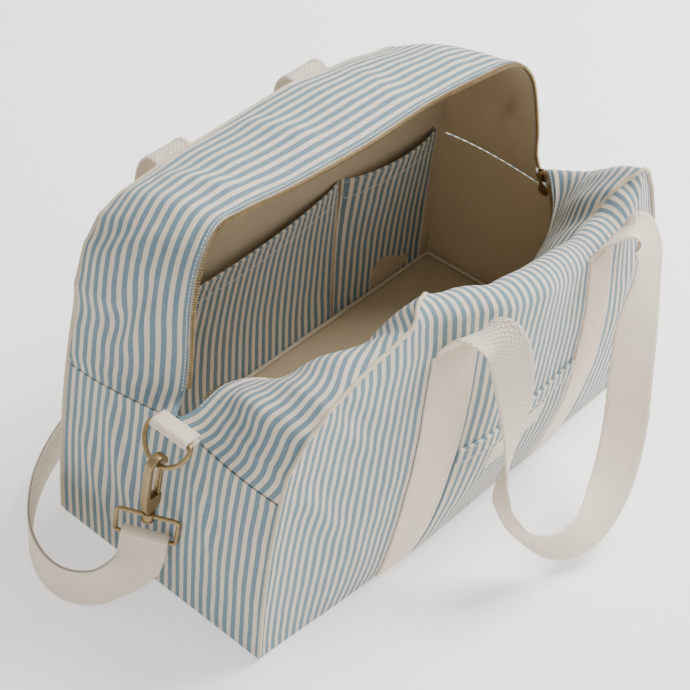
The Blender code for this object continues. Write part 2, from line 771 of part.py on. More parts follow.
# ---------------------------------------------------------------- handles
def sewn_strap(name, surface, place, outward, centre, length):
    """Webbing sewn flat up a panel; returns the loop's end just above it, its way up and across."""
    def patch(u, v):
        s = centre + WEB_WIDTH * (u - 0.5)
        return surface(column_at(s), place(s, v * length))

    low = 3 * CLEAR + CANVAS
    foot = 1.6 * SEAM_MARGIN / length
    shell(name, patch, outward, (low + WEB, low), lines(0.0, 1.0, 2),
          lambda u: lines(foot, 1.0, 12), "webbing")
    up = unit(patch(0.5, 1.0) - patch(0.5, 0.97))
    side = unit(patch(1.0, 1.0) - patch(0.0, 1.0))
    normal = unit(np.cross(side, up)) * outward
    up = unit(np.cross(normal, side)) * outward
    return patch(0.5, 1.0) + normal * (low + WEB / 2) + up * SLACK, up, side


def looped(ends, facing, stations):
    """Centre and width points of a handle loop.

    Each station is the end it is measured from (0 or 1), its offset and its width direction, both as
    (right, out, up), out being away from the bag along facing.
    """
    def turned(v):
        return np.array([v[0], v[1] * facing, v[2]])

    (start, start_up, start_side), (end, end_up, end_side) = ends
    points = [start, start + start_up * 0.005]
    widths = [start_side, start_side]
    for which, offset, width in stations:
        points.append(ends[which][0] + turned(offset))
        widths.append(turned(width))
    return points + [end + end_up * 0.005, end], widths + [end_side, end_side]


def build_handles():
    near = sewn_strap("front_handle_strap_near", front_panel, front_share, 1, NEAR_STRAP, SEWN_TOP)
    far = sewn_strap("front_handle_strap_far", front_panel, front_share, 1, FAR_STRAP, SEWN_TOP - 0.006)
    route = [(0, (-0.002, 0.006, 0.016), (0.95, 0.3, 0.0)), (0, (-0.004, 0.018, 0.032), (0.95, 0.3, 0.0)),
             (0, (0.004, 0.036, 0.030), (0.9, 0.3, 0.1)), (0, (0.010, 0.045, 0.004), (0.9, 0.3, 0.0)),
             (0, (0.016, 0.051, -0.044), (0.95, 0.0, -0.3)), (0, (0.014, 0.054, -0.082), (0.9, -0.35, -0.3)),
             (0, (0.008, 0.056, -0.112), (0.5, -0.6, -0.6)), (0, (0.008, 0.061, -0.138), (0.35, -0.6, -0.7)),
             (0, (0.018, 0.074, -0.162), (0.4, -0.4, -0.8)), (0, (0.044, 0.092, -0.180), (0.35, 0.1, -0.9)),
             (0, (0.078, 0.099, -0.183), (0.3, 0.45, -0.8)), (1, (-0.064, 0.086, -0.160), (0.5, 0.75, -0.4)),
             (1, (-0.034, 0.072, -0.128), (0.6, 0.8, -0.1)), (1, (-0.013, 0.056, -0.090), (0.7, 0.7, 0.0)),
             (1, (0.006, 0.042, -0.054), (0.85, 0.5, 0.0)), (1, (0.022, 0.033, -0.020), (0.95, 0.1, -0.2)),
             (1, (0.026, 0.027, 0.006), (0.95, 0.0, -0.3)), (1, (0.018, 0.018, 0.025), (1.0, 0.0, -0.1)),
             (1, (0.004, 0.007, 0.019), (1.0, -0.1, 0.0))]
    points, widths = looped((near, far), -1, route)
    band("front_handle_loop", points, widths, WEB_WIDTH, WEB, 60, "webbing")
    on_axis("front_handle_loop", near[0])

    near = sewn_strap("back_handle_strap_near", back_panel, back_share, -1, BACK_NEAR_STRAP, BACK_SEWN_TOP)
    far = sewn_strap("back_handle_strap_far", back_panel, back_share, -1, BACK_FAR_STRAP, BACK_SEWN_TOP)
    half = (far[0] - near[0])[0] / 2
    side = [((0.000, 0.005, 0.020), (1.0, 0.0, 0.0)), ((0.000, 0.020, 0.026), (1.0, 0.0, 0.0)),
            ((0.000, 0.032, 0.012), (1.0, 0.0, 0.0)), ((0.001, 0.036, -0.020), (1.0, -0.1, 0.0)),
            ((0.006, 0.037, -0.070), (1.0, -0.1, 0.1)), ((0.022, 0.036, -0.130), (1.0, 0.0, 0.5))]
    route = [(0, offset, width) for offset, width in side]
    route.append((0, (half, 0.034, -BACK_LOOP_DROP), (0.1, 0.0, 1.0)))
    route += [(1, (-o[0], o[1], o[2]), (-w[0], w[1], w[2])) for o, w in reversed(side)]
    points, widths = looped((near, far), 1, route)
    widths[-2:] = [-w for w in widths[-2:]]
    band("back_handle_loop", points, widths, WEB_WIDTH, WEB, 56, "webbing")
    on_axis("back_handle_loop", near[0])


# ---------------------------------------------------------------- zip slider
def frame_matrix(origin, a, h):
    """4x4 with columns a, n, h from a lengthwise and an upward direction."""
    h = unit(h)
    a = unit(np.array(a, float) - h * np.dot(a, h))
    n = np.cross(h, a)
    m = np.eye(4)
    m[:3, 0], m[:3, 1], m[:3, 2], m[:3, 3] = a, n, h, origin
    return m


def slider_place():
    back = TEETH_END - SLIDER_LENGTH / 2 - 2 * FIT
    q = 1 - back / BACK_ZIP.length
    point = (BACK_ZIP.at(q) + FRONT_ZIP.at(1 - back / FRONT_ZIP.length)) / 2
    along = BACK_ZIP.tangent(q)
    return point + np.array([-CANVAS, 0.0, 0.0]), along


def build_slider():
    point, along = slider_place()
    gap, plate_thick = SLIDER_GAP, SLIDER_PLATE
    inward = unit(np.array([-1.0, -0.25, 0.2]))
    place = frame_matrix(point, np.cross(along, inward), -along)
    half = SLIDER_WIDTH / 2
    length = SLIDER_LENGTH / 2
    outline = [(-half * 0.62, -length), (half * 0.62, -length), (half, -length * 0.2), (half, length * 0.7),
               (half * 0.45, length), (-half * 0.45, length), (-half, length * 0.7), (-half, -length * 0.2)]
    normal = place[:3, 1]
    bodies = []
    for k, side in enumerate((-1, 1)):
        m = place.copy()
        m[:3, 3] = point + normal * side * (gap + plate_thick) / 2
        bodies.append(plate("slider_plate_%d" % k, outline, plate_thick, m, "brass"))
    m = place.copy()
    neck = plate("slider_neck", [(-0.0011, 0.0015), (0.0011, 0.0015), (0.0011, 0.0055), (-0.0011, 0.0055)],
                 gap + plate_thick, m, "brass")
    body = combine(combine(bodies[0], neck, "UNION"), bodies[1], "UNION")
    side = 1 if normal.dot(inward) > 0 else -1
    face = point + normal * side * (gap / 2 + plate_thick)
    up = place[:3, 2]
    bridge = [face - up * 0.0048 - normal * side * 0.0004, face - up * 0.0042 + normal * side * 0.0020,
              face + up * 0.0022 + normal * side * 0.0020, face + up * 0.0030 - normal * side * 0.0004]
    body = combine(body, tube("slider_bridge", bridge, 0.00075, 6, "brass"), "UNION")
    body.name = "zip_slider"
    pull = [(-0.0014, 0.0012), (0.0014, 0.0012), (0.0022, -0.003), (0.0042, -0.008), (0.0046, -0.013),
            (0.0028, -PULL_LENGTH + 0.002), (0.0, -PULL_LENGTH), (-0.0028, -PULL_LENGTH + 0.002),
            (-0.0046, -0.013), (-0.0042, -0.008), (-0.0022, -0.003)]
    m = place.copy()
    m[:3, 3] = face + normal * side * 0.0040 - up * 0.0012
    plate("zip_pull", pull, 0.0014, m, "brass")
    on_axis("zip_slider", point)
    on_axis("zip_pull", face + normal * side * 0.0040)


# ---------------------------------------------------------------- clip hardware
def hang(side):
    """Axis, ring and hook directions of the clip hardware at one end of the bag."""
    root = end_point(side)
    out = np.array([side, 0.0, 0.0])
    bar = root + out * TAB_REACH + TAB_SHIFT
    tilt = math.radians(RING_OUT)
    down = out * math.sin(tilt) + np.array([0, 0, -math.cos(tilt)])
    bottom = bar + down * (RING_SIDE + RING_WIDTH / 2)
    up = unit([0.0, -0.14, 1.0])
    eye = bottom - up * (EYE_RADIUS - WIRE_RADIUS - 0.0011)
    return root, out, bar, down, bottom, up, eye


def d_ring_points(bar, down):
    axis = np.array([0, 1.0, 0])
    r = RING_WIDTH / 2
    corner = 0.0035
    points = []
    for k in range(5):
        points.append(bar + axis * (-r + corner + (2 * r - 2 * corner) * k / 4))
    points.append(bar + axis * (r - 0.3 * corner) + down * 0.3 * corner)
    points.append(bar + axis * r + down * corner)
    for k in range(17):
        a = math.pi * k / 16
        centre = bar + down * (RING_SIDE + corner * 0.3)
        points.append(centre + axis * r * math.cos(a) + down * r * math.sin(a))
    points.append(bar - axis * r + down * corner)
    points.append(bar - axis * (r - 0.3 * corner) + down * 0.3 * corner)
    return points


def arc(radius, start, end, steps):
    """Points of an arc about (0, 0), angles in degrees."""
    turn = [math.radians(start + (end - start) * k / steps) for k in range(steps + 1)]
    return [(radius * math.cos(a), radius * math.sin(a)) for a in turn]


def hook_outline():
    outer = EYE_RADIUS + HOOK_WALL
    pivot = gate_pivot()
    seat = pivot[1] - GATE_THICKNESS / 2 - FIT
    right = pivot[0] + GATE_THICKNESS / 2 + 0.0012
    return (arc(outer, -18, 180, 14) + [(-outer, -HOOK_LENGTH + 0.008), (-0.0042, -HOOK_LENGTH),
            (0.0042, -HOOK_LENGTH), (right, -HOOK_LENGTH + 0.007), (right, seat), (-0.0018, seat),
            (-EYE_RADIUS, seat + 0.006)] + arc(EYE_RADIUS, 180, -18, 12))


def gate_pivot():
    return EYE_RADIUS + HOOK_WALL * 0.45 - GATE_THICKNESS / 2, -0.0035 - GATE_LENGTH


def gate_outline():
    x, h = gate_pivot()
    half = GATE_THICKNESS / 2
    foot = [(x + half * math.cos(math.radians(a)), h + half * math.sin(math.radians(a)))
            for a in range(180, 361, 36)]
    top = h + GATE_LENGTH - 0.0006
    return foot + [(x + half, top - 0.0014), (x + half * 0.2, top), (x - half, top)]


def build_clip(name, side):
    root, out, bar, down, bottom, up, eye = hang(side)
    axis = np.array([0, 1.0, 0])
    lip = WIRE_RADIUS + FIT + WEB / 2
    inner = root + TAB_SHIFT + out * TAB_ROOT
    tab = [inner + np.array([0, 0, lip])]
    for k in range(13):
        a = math.radians(100 - 200 * k / 12)
        tab.append(bar + out * lip * math.cos(a) + np.array([0, 0, lip * math.sin(a)]))
    tab.append(inner - np.array([0, 0, lip]))
    over = []
    for k, p in enumerate(tab):
        t = unit(tab[min(k + 1, len(tab) - 1)] - tab[max(k - 1, 0)])
        over.append(np.cross(t, axis))
    x, y = WEB_WIDTH / 2, WEB / 2
    sweep("ring_tab_" + name, tab, [axis] * len(tab), over, [(-x, -y), (x, -y), (x, y), (-x, y)], "webbing")
    tube("d_ring_" + name, d_ring_points(bar, down), WIRE_RADIUS, 10, "brass", True)

    place = frame_matrix(eye, -out, up)
    hook = plate("snap_hook_" + name, hook_outline(), HOOK_THICKNESS, place, "brass")
    low = eye - up * (HOOK_LENGTH - 0.0008)
    stem = cylinder("stem", low, low - up * (STEM_LENGTH + 0.0022), STEM_RADIUS, 12, "brass")
    hook = combine(hook, stem, "UNION")
    head = low - up * (STEM_LENGTH + 0.0012)
    rivet = cylinder("head", head, head - up * RIVET_HEIGHT, STEM_RADIUS + RIVET_LIP, 12, "brass")
    hook = combine(hook, rivet, "UNION")
    hook.name = "snap_hook_" + name
    plate("hook_gate_" + name, gate_outline(), HOOK_THICKNESS - 0.0016, place, "brass")

    turn = math.radians(LOOP_TURN) * -side
    bar_dir = np.array([math.sin(turn) * -1.0, math.cos(turn), 0.0])
    bar_dir = unit(bar_dir - up * bar_dir.dot(up))
    collar_top = eye - up * (HOOK_LENGTH + FIT)
    collar_low = collar_top - up * (STEM_LENGTH - 2 * FIT)
    middle = (collar_top + collar_low) / 2
    half, drop, soft = LOOP_WIDTH / 2, LOOP_HEIGHT, LOOP_SOFT
    frame = [middle + bar_dir * half * k / 2.6 for k in (-2, -1, 0, 1, 2)]
    for sx, corner in ((1, 0.0), (1, drop), (-1, drop), (-1, 0.0)):
        centre = middle + bar_dir * sx * (half - soft) - up * (soft if corner == 0.0 else drop - soft)
        start = {(1, 0.0): 90, (1, drop): 0, (-1, drop): -90, (-1, 0.0): 180}[(sx, corner)]
        for k in range(4):
            a = math.radians(start - 30 * k)
            frame.append(centre + bar_dir * soft * math.cos(a) + up * soft * math.sin(a))
    loop = tube("strap_ring_" + name, frame, LOOP_WIRE, 8, "brass", True)
    loop = combine(loop, cylinder("collar", collar_top, collar_low, COLLAR_RADIUS, 16, "brass"), "UNION")
    bore = cylinder("bore", collar_top + up * 0.004, collar_low - up * 0.004, STEM_RADIUS + FIT, 16, "brass")
    loop = combine(loop, bore, "DIFFERENCE")
    loop.name = "strap_ring_" + name
    pivot, height = gate_pivot()
    on_axis("d_ring_" + name, bar)
    on_axis("snap_hook_" + name, bottom)
    on_axis("hook_gate_" + name, eye + out * -pivot + up * height)
    on_axis("strap_ring_" + name, middle)
    return middle - up * drop, bar_dir, up


def wrap(centre, axis, up, away):
    """The end of the strap folded over a ring's lower bar, from inside the ring to outside."""
    r = LOOP_WIRE + 2 * FIT + STRAP_THICKNESS / 2
    away = unit(away - axis * np.dot(away, axis) - up * np.dot(away, up))
    points = []
    for k in range(WRAP_STEPS + 1):
        a = math.radians(-25 + 205 * k / WRAP_STEPS)
        points.append(centre + r * (-away * math.cos(a) + up * math.sin(a)))
    return points


def build_strap():
    left, left_dir, up = build_clip("left", -1)
    right, right_dir, up = build_clip("right", 1)
    z = WEB_WIDTH / 2 + 0.0006
    lifted = z + 0.0030
    stand = np.array([0, 0, 1.0])
    start = wrap(left, left_dir, up, np.array([-1.0, -0.6, 0]))
    finish = wrap(right, right_dir, up, np.array([1.0, -0.6, 0]))[::-1]
    route = [left + np.array([-0.014, -0.003, -0.022]), (-HALF - 0.052, 0.012, 0.028),
             (-HALF - 0.064, 0.036, z), (-HALF - 0.065, 0.063, z), (-HALF - 0.050, 0.095, z),
             (-HALF - 0.017, 0.128, z), (-HALF + 0.025, SIDE + 0.040, z), (-HALF + 0.075, SIDE + 0.058, z),
             (-0.5 * HALF, SIDE + 0.066, lifted), (0.0, SIDE + 0.068, lifted), (0.5 * HALF, SIDE + 0.066, z),
             (HALF - 0.045, SIDE + 0.056, z), (HALF + 0.010, SIDE + 0.030, z), (HALF + 0.045, 0.100, z),
             (HALF + 0.066, 0.062, z), (HALF + 0.068, 0.034, z + 0.002),
             right + np.array([0.013, 0.006, -0.009])]
    points = start + [np.array(p, float) for p in route] + finish
    path = Path(points)
    centres, across, over = [], [], []
    lie = 0.055
    wrapped = path.reach[WRAP_STEPS * 12]
    around = lines(0.0, wrapped, WRAP_STEPS)[:-1]
    free = lines(wrapped, path.length - wrapped, 84)
    reaches = around + free + [path.length - d for d in reversed(around)]
    for d in reaches:
        q = d / path.length
        t = path.tangent(q)
        near = min(1.0, max(0.0, (d - 0.014) / lie))
        far = min(1.0, max(0.0, (path.length - d - 0.014) / lie))
        if d < path.length / 2:
            w = left_dir * (1 - near) + stand * near
        else:
            w = right_dir * (1 - far) + stand * far
        w = unit(w - t * w.dot(t))
        centres.append(path.at(q))
        across.append(w)
        over.append(np.cross(t, w))
    x, y = WEB_WIDTH / 2, STRAP_THICKNESS / 2
    sweep("shoulder_strap", centres, across, over, [(-x, -y), (x, -y), (x, y), (-x, y)], "webbing")

    q = ADJUSTER_PLACE
    t = path.tangent(q)
    place = frame_matrix(path.at(q), np.cross(stand, t), stand)
    inner_w, inner_h = STRAP_THICKNESS + 3 * FIT, WEB_WIDTH + 2 * FIT
    outer_w, outer_h = inner_w + 2 * LOOP_WIRE, inner_h + 2 * LOOP_WIRE
    shape = [(-outer_w / 2, -inner_h / 2 - 0.0012), (outer_w / 2, -inner_h / 2 - 0.0012),
             (outer_w / 2, outer_h / 2), (-outer_w / 2, outer_h / 2)]
    frame = plate("strap_adjuster", shape, ADJUSTER_LENGTH, place, "brass")
    hole = [(-inner_w / 2, -inner_h / 2), (inner_w / 2, -inner_h / 2), (inner_w / 2, inner_h / 2),
            (-inner_w / 2, inner_h / 2)]
    frame = combine(frame, plate("slot", hole, 2 * ADJUSTER_LENGTH, place, "brass"), "DIFFERENCE")
    frame.name = "strap_adjuster"
    on_axis("strap_adjuster", path.at(q))


def main():
    for old in list(bpy.data.objects):
        bpy.data.objects.remove(old, do_unlink=True)
    build_panels()
    build_strips()
    build_base()
    build_bindings()
    build_slip_pocket()
    build_inner_pockets()
    build_handles()
    build_slider()
    build_strap()


main()
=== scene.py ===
"""The look of an open canvas weekender bag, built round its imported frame.

Metres, +Z up. Cloth surfaces are functions of two panel coordinates, as in the part's own source; each
sub-assembly is a class that makes its pieces and says which body every one of them moves with.
"""

import logging
import math
from dataclasses import dataclass, field
from enum import Enum
from typing import Callable, Iterable, Sequence

import bmesh
import bpy
import numpy as np
from mathutils import Matrix, Vector, noise


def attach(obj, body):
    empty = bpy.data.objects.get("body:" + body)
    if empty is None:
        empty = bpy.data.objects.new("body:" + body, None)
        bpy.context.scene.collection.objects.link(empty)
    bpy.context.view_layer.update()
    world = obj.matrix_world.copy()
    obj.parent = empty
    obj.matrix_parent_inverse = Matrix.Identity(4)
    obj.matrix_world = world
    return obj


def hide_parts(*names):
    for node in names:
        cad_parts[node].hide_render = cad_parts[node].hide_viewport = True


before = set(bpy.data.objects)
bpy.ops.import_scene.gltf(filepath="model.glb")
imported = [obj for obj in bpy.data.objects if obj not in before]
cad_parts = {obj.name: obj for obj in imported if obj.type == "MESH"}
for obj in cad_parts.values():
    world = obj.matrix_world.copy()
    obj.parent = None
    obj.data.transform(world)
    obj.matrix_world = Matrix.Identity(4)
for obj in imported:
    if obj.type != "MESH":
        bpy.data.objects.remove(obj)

logging.basicConfig(level=logging.INFO, format="%(name)s: %(message)s")
log = logging.getLogger("bag")

Array = np.ndarray
Surface = Callable[[float, float], Array]
Stations = Sequence[tuple]

# ---- overall sizes ----
LENGTH = 0.466
DEPTH = 0.225
BACK_HEIGHT = 0.317
RIM_HEIGHT = 0.248
END_HEIGHT = 0.166
RIGHT_END_DROP = 0.016

# ---- cloth ----
CANVAS = 0.0011
CLOTH = 0.0019
BELLY = 0.018
RIM_RADIUS = 0.017
UPRIGHT_SHARE = 0.68
RIM_DROP = 0.032
TUCK = 0.060
BACK_SAG = 0.045
FRONT_BOW = 0.0100
RIM_BULGE = 0.028
LEFT_LEAN = 0.014
RIGHT_FLARE = 0.014
DRIFT = 0.045
STRIP_CREST = 0.020
CROWDING = 0.65
END_SWELL = 0.0015

# ---- pockets ----
POCKET_HEIGHT = 0.165
POCKET_GAPE = 0.016
POCKET_SPLIT = 0.095
SLIP_WIDTH = 0.150
SLIP_HEIGHT = 0.118
SLIP_CENTRE = 0.004
LABEL_WIDTH = 0.072
LABEL_HEIGHT = 0.020
LABEL_FOOT = 0.080

# ---- zip ----
TOOTH_PITCH = 0.0022
TEETH_WIDTH = 0.0042
TEETH_END = 0.027
ZIP_SHY = 0.0038
SLIDER_LENGTH = 0.013
SLIDER_WIDTH = 0.0095
PULL_LENGTH = 0.020

# ---- webbing ----
WEB_WIDTH = 0.038
WEB = 0.0018
STRAP_THICKNESS = 0.0034
NEAR_STRAP = -0.092
FAR_STRAP = 0.100
SEWN_TOP = 0.214
BACK_SEWN_TOP = 0.266
BACK_NEAR_STRAP = -0.105
BACK_FAR_STRAP = 0.062
BACK_LOOP_DROP = 0.185

# ---- metal ----
WIRE_RADIUS = 0.0020
RING_WIDTH = 0.044
RING_SIDE = 0.003
RING_OUT = 36.0
TAB_REACH = 0.0125
TAB_ROOT = 0.0040
TAB_SHIFT = np.array([0.0, -0.009, 0.001])
EYE_RADIUS = 0.0050
HOOK_WALL = 0.0044
HOOK_LENGTH = 0.058
HOOK_THICKNESS = 0.0070
GATE_LENGTH = 0.0335
GATE_THICKNESS = 0.0030
STEM_RADIUS = 0.0019
STEM_LENGTH = 0.0115
COLLAR_RADIUS = 0.0048
LOOP_WIDTH = 0.049
LOOP_HEIGHT = 0.028
LOOP_SOFT = 0.004
LOOP_WIRE = 0.0018
LOOP_TURN = 31.0
ADJUSTER_PLACE = 0.50
ADJUSTER_LENGTH = 0.022
FIT = 0.0004
CLEAR = 0.0003
SLACK = 0.0018
WRAP_STEPS = 10

HALF = LENGTH / 2
SIDE = DEPTH / 2

# ---- looks ----
STRIPE_PITCH = 0.0087
BLUE_SHARE = 0.52
STITCH_PITCH = 0.0032
STITCH_INSET = 0.0036
HEM_RISE = 0.0007
EDGE_FADE = 4.0
WEAVE_ON_TOP = 0.0009


# ---------------------------------------------------------------- curves and surfaces
def knots(stations: Stations, x: float) -> float:
    """Smooth value at x through given (x, value) stations.

    Args:
        stations: The given pairs, in order.
        x: The place wanted.

    Returns:
        The value there.
    """
    xs = [s[0] for s in stations]
    if x <= xs[0]:
        return stations[0][1]
    if x >= xs[-1]:
        return stations[-1][1]
    i = max(k for k in range(len(xs) - 1) if xs[k] <= x)
    a = (x - xs[i]) / (xs[i + 1] - xs[i])
    a = a * a * (3 - 2 * a) * 0.5 + a * 0.5
    return stations[i][1] * (1 - a) + stations[i + 1][1] * a


class Path:
    """A smooth line through points, read by its share of arc length."""

    def __init__(self, points: Sequence, fine: int = 12) -> None:
        """Draws the line.

        Args:
            points: The points that it passes through.
            fine: How many steps it takes between two of them.
        """
        p = np.array(points, float)
        ends = np.vstack([2 * p[0] - p[1], p, 2 * p[-1] - p[-2]])
        dense = []
        for i in range(len(p) - 1):
            a, b, c, d = ends[i], ends[i + 1], ends[i + 2], ends[i + 3]
            for k in range(fine):
                t = k / fine
                dense.append(0.5 * (2 * b + (c - a) * t + (2 * a - 5 * b + 4 * c - d) * t ** 2
                                    + (3 * b - a - 3 * c + d) * t ** 3))
        dense.append(p[-1])
        self.points = np.array(dense)
        steps = np.linalg.norm(np.diff(self.points, axis=0), axis=1)
        self.reach = np.concatenate([[0.0], np.cumsum(steps)])
        self.length = self.reach[-1]

    def at(self, q: float) -> Array:
        """The point at a share of the length."""
        d = min(max(q, 0.0), 1.0) * self.length
        return np.array([np.interp(d, self.reach, self.points[:, k]) for k in range(3)])

    def tangent(self, q: float) -> Array:
        """The direction at a share of the length.

        Args:
            q: The share of the length.

        Returns:
            The unit direction.
        """
        e = 0.006
        step = self.at(q + e) - self.at(q - e)
        return step / np.linalg.norm(step)


def unit(v: Sequence[float]) -> Array:
    """A vector of length one."""
    v = np.array(v, float)
    return v / np.linalg.norm(v)


# ---------------------------------------------------------------- panels
def column(u: float) -> float:
    """Place along the bag of a panel's upright column, closer together at the rounded corners."""
    return HALF * (CROWDING * -math.cos(math.pi * u) + (1 - CROWDING) * (2 * u - 1))


def column_at(s: float) -> float:
    """The panel coordinate u of the column at s.

    Args:
        s: The column's place.

    Returns:
        The coordinate u.
    """
    low, high = 0.0, 1.0
    for _ in range(40):
        middle = (low + high) / 2
        if column(middle) < s:
            low = middle
        else:
            high = middle
    return (low + high) / 2


def share(s: float) -> float:
    """Column place as a share of half the length, from -1 to 1."""
    return s / HALF


def front_top(s: float) -> float:
    """Length of front panel cloth above the floor at a column."""
    shape = [(-1.0, -0.055), (-0.95, -0.031), (-0.88, -0.017), (-0.78, -0.010), (-0.68, -0.005),
             (-0.58, 0.002), (-0.48, 0.020), (-0.34, 0.7 * TUCK), (-0.16, TUCK), (0.20, 0.9 * TUCK),
             (0.42, 0.30 * TUCK), (0.60, 0.1 * -RIM_DROP), (0.76, 0.1 * -RIM_DROP), (0.90, 0.0),
             (0.96, -0.008), (1.0, -0.030)]
    return RIM_HEIGHT + knots(shape, share(s))


def rim_height(s: float) -> float:
    """Height of the crease that the front cloth folds over."""
    shape = [(-1.0, 0.034), (-0.66, 0.024), (-0.50, 0.012), (-0.34, 0.003), (-0.13, -0.007),
             (0.24, 0.75 * -RIM_DROP), (0.43, -RIM_DROP), (0.61, -RIM_DROP), (0.76, 0.4 * -RIM_DROP),
             (0.90, 0.006), (1.0, 0.014)]
    return RIM_HEIGHT + knots(shape, share(s))


def left_seam_x(h: float, front: bool) -> float:
    """Where the left corner seam stands at a height; it leans inwards as it rises."""
    lean = LEFT_LEAN if front else LEFT_LEAN * 0.55
    return -HALF + lean * (min(h, 1.35 * END_HEIGHT) / END_HEIGHT) ** 2.4


def right_seam_x(h: float, front: bool) -> float:
    """Where the right corner seam stands at a height; it flares, then leans inwards.

    Args:
        h: Height above the floor.
        front: Whether it is the front corner.

    Returns:
        The seam's x.
    """
    flare = RIGHT_FLARE * (1.0 if front else 0.3)
    top = max(0.0, h - 0.9 * END_HEIGHT)
    return HALF + flare * math.sin(math.pi * min(1.0, 0.35 + h / (2.6 * END_HEIGHT))) - 0.14 * top


def front_wall(s: float) -> tuple:
    """How far out the front cloth's foot and rim stand at a column, and its wall's rise and length.

    Args:
        s: The column's place.

    Returns:
        Foot and rim places, rise and length of the wall.
    """
    foot = -SIDE - FRONT_BOW * knots([(-1.0, 0.0), (-0.5, 0.75), (-0.25, 1.0), (1.0, 1.0)], share(s))
    rim = -SIDE - RIM_BULGE * knots([(-1.0, 0.0), (-0.7, -0.16), (-0.52, 0.0), (-0.34, 0.5), (-0.18, 0.95),
                                     (0.0, 1.0), (0.3, 0.8), (0.6, 0.65), (0.8, 0.35), (1.0, 0.0)], share(s))
    rise = rim_height(s) - RIM_RADIUS
    return foot, rim, rise, math.hypot(rise, rim - foot)


def front_panel(u: float, v: float) -> Array:
    """The front cloth: up a bellied wall, over the rim, then down inside the bag.

    Args:
        u: Share along the cloth.
        v: Share up the cloth.

    Returns:
        The point.
    """
    s = column(u)
    length = front_top(s)
    top = rim_height(s)
    foot, rim, rise, wall = front_wall(s)
    swelling = [(-1.0, 0.0), (-0.6, 0.6), (-0.2, 1.0), (0.3, 0.8), (0.7, 0.7), (1.0, 0.25)]
    belly = BELLY * knots(swelling, share(s))
    upright = min(wall, 0.86 * length)
    t = upright * v / UPRIGHT_SHARE
    if v > UPRIGHT_SHARE:
        t = upright + (length - upright) * (v - UPRIGHT_SHARE) / (1 - UPRIGHT_SHARE)
    if t < wall:
        a = t / wall
        y = foot + (rim - foot) * a ** 1.3 - belly * math.sin(math.pi * a ** 0.8)
        z = rise * a
    elif t < wall + math.pi * RIM_RADIUS:
        turn = (t - wall) / RIM_RADIUS
        y = rim + RIM_RADIUS * (1 - math.cos(turn))
        z = rise + RIM_RADIUS * math.sin(turn)
    else:
        rest = t - wall - math.pi * RIM_RADIUS
        y = rim + 2 * RIM_RADIUS + 0.22 * rest
        z = rise - rest
    f = (s + HALF) / LENGTH
    h = min(z, top)
    x = (1 - f) * left_seam_x(h, True) + f * right_seam_x(h, True)
    return np.array([x + DRIFT * (h / RIM_HEIGHT) * (1 - share(s) ** 2), y, z])


def front_share(s: float, height: float) -> float:
    """The panel coordinate v of a place that far up the cloth at a column.

    Args:
        s: The column's place.
        height: Length of cloth above the floor.

    Returns:
        The coordinate v.
    """
    length = front_top(s)
    upright = min(front_wall(s)[3], 0.86 * length)
    if height <= upright:
        return UPRIGHT_SHARE * height / upright
    return UPRIGHT_SHARE + (1 - UPRIGHT_SHARE) * (height - upright) / (length - upright)


def back_share(s: float, height: float) -> float:
    """The back panel coordinate v of a height at a column."""
    return height / back_top(s)


def back_top(s: float) -> float:
    """Height of the back seam at a column, sagging to the right."""
    shape = [(-1.0, -0.072), (-0.95, -0.037), (-0.88, -0.018), (-0.78, -0.009), (-0.5, -0.003),
             (0.05, 0.0), (0.35, 0.25 * -BACK_SAG), (0.62, 0.55 * -BACK_SAG), (0.80, -BACK_SAG),
             (0.92, -0.025 - BACK_SAG), (1.0, -0.060 - BACK_SAG)]
    return BACK_HEIGHT + knots(shape, share(s))


def back_panel(u: float, v: float) -> Array:
    """The tall back cloth, leaning in a little and bellied.

    Args:
        u: Share along the cloth.
        v: Share up the cloth.

    Returns:
        The point.
    """
    s = column(u)
    z = v * back_top(s)
    a = z / BACK_HEIGHT
    y = SIDE - 0.0125 * a ** 1.5 + 0.5 * BELLY * math.sin(math.pi * a) * (1 - share(s) ** 4)
    f = (s + HALF) / LENGTH
    return np.array([(1 - f) * left_seam_x(z, False) + f * right_seam_x(z, False), y, z])


def end_height(side: int) -> float:
    """Height of an end seam where it meets the panels."""
    return END_HEIGHT if side < 0 else END_HEIGHT - RIGHT_END_DROP


def arch(panel: Surface, top: Callable, place: Callable) -> Path:
    """The seam from one end seam over the top of a panel to the other end seam.

    Args:
        panel: The panel that the seam belongs to.
        top: Its cloth's top at a column.
        place: Share up the cloth at a column and a length.

    Returns:
        The seam.
    """
    rise = [(top(side * HALF) - end_height(side)) / 9 for side in (-1, 1)]
    points = [panel(0.0, place(-HALF, end_height(-1) + rise[0] * k)) for k in range(9)]
    points += [panel(k / 120, 1.0) for k in range(121)]
    points += [panel(1.0, place(HALF, top(HALF) - rise[1] * k)) for k in range(1, 10)]
    return Path(points, 1)


def end_point(side: int) -> Array:
    """Where both strips meet the middle of an end seam."""
    if side < 0:
        return np.array([-HALF + 0.8 * LEFT_LEAN, -0.006, END_HEIGHT + 0.015])
    return np.array([HALF + 0.9 * RIGHT_FLARE, -0.004, end_height(1) - 0.005])


